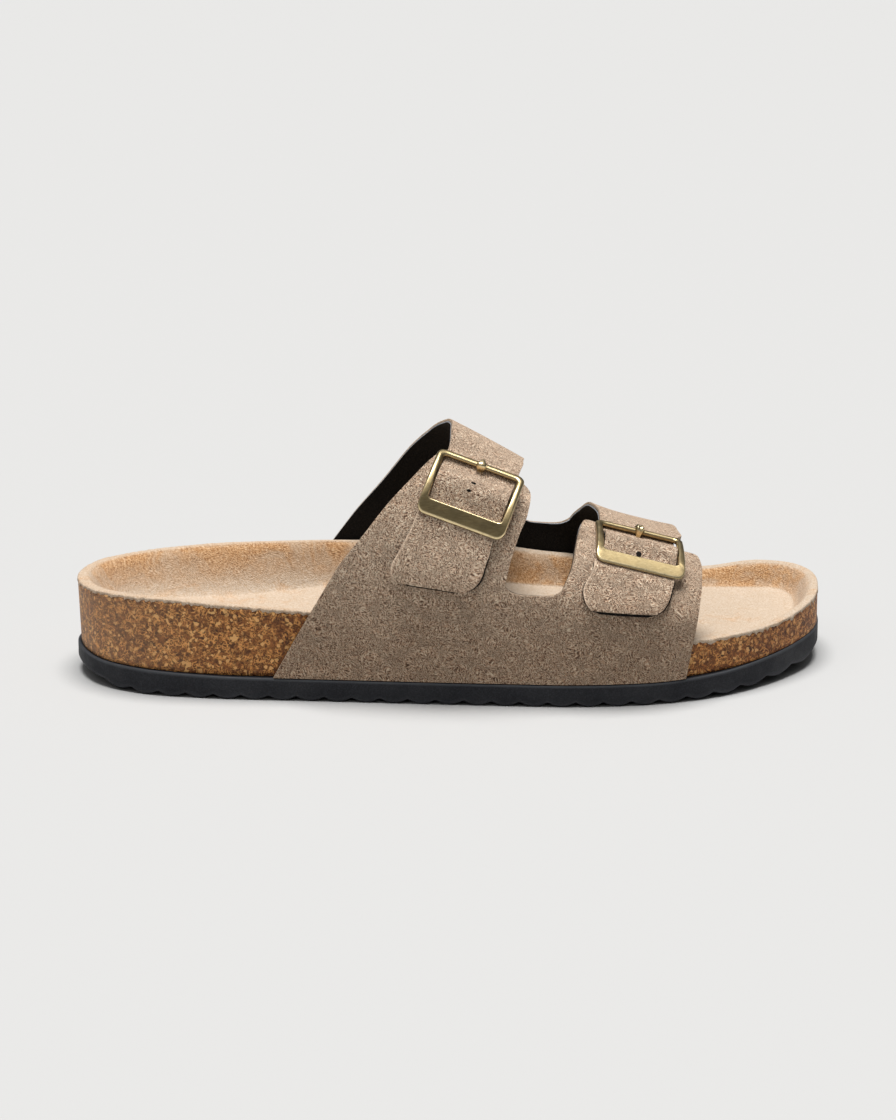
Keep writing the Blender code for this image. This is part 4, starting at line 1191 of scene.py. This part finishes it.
def buildFrame(name, seat, node):
    shape = buckle
    half = shape["high"] / 2
    outer = roundedBox(shape["long"] / 2, -half, half, shape["corner"])
    window = (shape["topBar"] - half, half - shape["keeperBar"], shape["windowCorner"])
    inner = roundedBox(shape["long"] / 2 - shape["sideBar"], *window)
    middle, reach = (outer + inner) / 2, (outer - inner) / 2
    keeper = easeOver(middle[:, 1], shape["roundEnd"] - half, half - shape["flatStart"])  # 1 on the flat bar
    bevelWide = 1 + (np.minimum(1, shape["bevel"] / np.linalg.norm(reach, axis=1)) - 1) * keeper
    bevelTall = 1 + (2 * shape["bevel"] / shape["thick"] - 1) * keeper
    # Outward-facing corners are marked rubbed bright, partly wear and partly painted highlight, round bars
    # less than the flat keeper
    shine = shape["roundWearAndHighlight"] + (1 - shape["roundWearAndHighlight"]) * keeper
    rings, wearAndHighlight = [], []
    for x, y, start in ((1, 1, 0), (-1, 1, 90), (-1, -1, 180), (1, -1, 270)):
        for turn in np.radians(np.linspace(0, 90, shape["sectionPoints"])):
            c, s = math.cos(turn + math.radians(start)), math.sin(turn + math.radians(start))
            flat = middle + reach * (x * (1 - bevelWide) + bevelWide * c)[:, None]
            tall = y * (1 - bevelTall) + bevelTall * s
            fall = np.clip((flat[:, 1] - half) / shape["keeperBar"] + 1, 0, 1)
            lift = shape["lift"] + (shape["thick"] - shape["keeperLean"] * fall) * (1 + tall) / 2
            rings.append(seatPoint(seat, flat[:, 0], flat[:, 1], lift))
            wearAndHighlight.append(shine * math.sin(2 * turn) * (y > 0))
    rings.append(rings[0])
    wearAndHighlight.append(wearAndHighlight[0])
    bm = bmesh.new()
    ringSkin(bm, rings, {"edge": wearAndHighlight})
    size = {"radius1": shape["centreBar"] / 2, "radius2": shape["centreBar"] / 2}
    size["depth"] = shape["long"] - shape["sideBar"]
    bar = bmesh.ops.create_cone(bm, cap_ends=True, segments=20, **size)["verts"]
    spots = np.array([vert.co[:] for vert in bar]) + (shape["centreLift"], upper["tunnelMiddle"], 0.0)
    placed(bar, seatPoint(seat, spots[:, 2], spots[:, 1], spots[:, 0]))
    bmesh.ops.recalc_face_normals(bm, faces=bm.faces)
    piece = finished(name, bm, [brass])
    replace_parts(piece, node)


# Prongs: rows from the hook's free end over the top bar, down through the strap
rearProng = {
    "way": [0, 1, 2, 3, 4, 5, 6, 7, 8, 9],
    "along": [-15.4, -15.2, -14.7, -14.0, -13.0, -12.0, -11.3, -10.9, -10.8, -10.4],
    "lift": [5.6, 6.5, 7.2, 7.5, 7.6, 7.5, 6.9, 5.9, 4.8, 3.6],
    "halfWidth": [0.15, 0.3, 0.55, 0.9, 1.35, 1.75, 1.95, 1.8, 1.35, 0.9],
    "halfThick": [0.3, 0.4, 0.5, 0.65, 0.75, 0.8, 0.75, 0.7, 0.6, 0.5],
}
frontProng = dict(
    rearProng,
    halfWidth=[1.0, 1.4, 1.6, 1.7, 1.75, 1.75, 1.7, 1.5, 1.1, 0.8],
    halfThick=[0.5, 0.6, 0.65, 0.75, 0.8, 0.75, 0.7, 0.65, 0.6, 0.5],
)
prongSkin = {"rows": 64, "points": 28, "ridge": 0.28, "ridgeSink": 0.1, "wearAndHighlight": 0.8}


def buildProng(name, seat, shape, ridges, node):
    skin = prongSkin
    ways = np.linspace(shape["way"][0], shape["way"][-1], skin["rows"])
    along, lift, wide, thick = (curveAt(shape, c, ways) for c in ("along", "lift", "halfWidth", "halfThick"))
    heading = np.arctan2(np.gradient(lift), np.gradient(along))
    turn = np.linspace(0, 2 * math.pi, skin["points"], endpoint=False)
    rings = []
    for k in range(len(ways)):
        across = wide[k] * np.cos(turn)
        up = thick[k] * np.sin(turn)
        if ridges:
            wave = skin["ridge"] * np.cos(across / wide[k] * 2 * math.pi + math.pi) - skin["ridgeSink"]
            up += np.where(np.sin(turn) > 0, wave, 0)
        ahead, proud = along[k] - up * math.sin(heading[k]), lift[k] + up * math.cos(heading[k])
        rings.append(seatPoint(seat, across, ahead, proud))
    first, last = (np.repeat(np.mean(ring, 0)[None], len(ring), 0) for ring in (rings[0], rings[-1]))
    rings = [first] + rings + [last]
    bm = bmesh.new()
    # The prong's outward side is marked rubbed bright, partly wear and partly painted highlight
    ringSkin(bm, rings, {"edge": [ease(np.sin(turn)) * skin["wearAndHighlight"]] * len(rings)})
    piece = finished(name, bm, [brass])
    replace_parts(piece, node)


seats = [seatOf(ride) for ride in (rearRide, frontRide)]
quarter = buildQuarter("quarterSuede", upper["wall"], upper["suede"], [taupe, cutEdge])
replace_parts(quarter, "upper")
liningTop = upper["wall"] - upper["sheetGap"]
lined = [blackLining, liningEdge]
buildQuarter("quarterLining", liningTop - upper["suede"], upper["lining"], lined)
sewn = [strapTaupe, strapEdge]
buildStraps("strapSuede", seats, upper["wall"], upper["strapSuede"], upper["shy"], sewn)
under = liningTop - upper["strapSuede"]
buildStraps("strapLining", seats, under, upper["strapLining"], 0.0, lined)
for name, ride, seat in (("rear", rearRide, seats[0]), ("front", frontRide, seats[1])):
    buildHoles(name + "Holes", ride, seat, holes[name])
print("upper made")
buckles = (("rear", seats[0], rearProng, False), ("front", seats[1], frontProng, True))
for name, seat, prong, ridges in buckles:
    buildFrame(name + "BuckleFrame", seat, name + "_buckle_frame")
    buildProng(name + "BuckleProng", seat, prong, ridges, name + "_buckle_prong")
print("buckles made")

# Studio: pale floor, a soft bright sky overhead, camera at the photo's angle
studio = {
    "floorSize": 9.0,
    "floorColour": (0.5, 0.497, 0.49, 1.0),
    "overhead": 6.0,
    "overheadSpan": (0.3, 0.95),
    "aroundLow": 0.95,
    "boxWay": (-0.37, -0.62, 0.69),
    "boxSpan": (0.78, 0.94),
    "box": 6.4,
    "sun": 4.4,
    "sunAngle": 34.0,
    "sunTurn": (-3.0, 0.0, 0.0),
    "exposure": 0.0,
    "target": (-0.00084, 0.0005, 0.042),
    "distance": 1.6,
    "elevation": 16.0,
    "mmPerPixel": 0.3806,
    "imageHigh": 1120,
    "sensor": 36.0,
}


def buildStudio():
    look = studio
    bm = bmesh.new()
    bmesh.ops.create_grid(bm, x_segments=2, y_segments=2, size=look["floorSize"])
    material, tree, shader = newMaterial("paleFloor")
    shader.inputs["Base Color"].default_value = look["floorColour"]
    shader.inputs["Roughness"].default_value = 0.9
    shader.inputs["Specular IOR Level"].default_value = 0.1
    floor = linked("studioFloor", meshOf("studioFloor", bm, [material]))
    world = bpy.data.worlds.new("softSky")
    bpy.context.scene.world = world
    world.use_nodes = True
    tree = world.node_tree
    way = addNode(tree, "TexCoord").outputs["Generated"]
    up = axisOf(tree, way, "Z")
    facing = {0: way, 1: look["boxWay"]}
    facing = addNode(tree, "VectorMath", facing, operation="DOT_PRODUCT").outputs["Value"]
    softBox = fromTo(tree, facing, *look["boxSpan"], 0.0, look["box"])
    glow = fromTo(tree, up, *look["overheadSpan"], look["aroundLow"], look["overhead"])
    glow = calc(tree, "ADD", glow, softBox)
    tree.links.new(glow, tree.nodes["Background"].inputs["Strength"])
    sun = bpy.data.lights.new("softSun", "SUN")
    sun.energy = look["sun"]
    sun.angle = math.radians(look["sunAngle"])
    lamp = linked("softSun", sun)
    lamp.rotation_euler = [math.radians(a) for a in look["sunTurn"]]
    camera = bpy.data.cameras.new("photoCamera")
    camera.sensor_fit = "VERTICAL"
    camera.sensor_height = look["sensor"]
    camera.lens = look["sensor"] * look["distance"] / (look["mmPerPixel"] * mm * look["imageHigh"])
    eye = linked("photoCamera", camera)
    lean = math.radians(look["elevation"])
    eye.location = Vector(look["target"]) + Vector((0, -math.cos(lean), math.sin(lean))) * look["distance"]
    eye.rotation_euler = (math.pi / 2 - lean, 0, 0)
    bpy.context.scene.camera = eye
    bpy.context.scene.view_settings.view_transform = "Standard"
    bpy.context.scene.view_settings.exposure = look["exposure"]


buildStudio()
print("studio made")
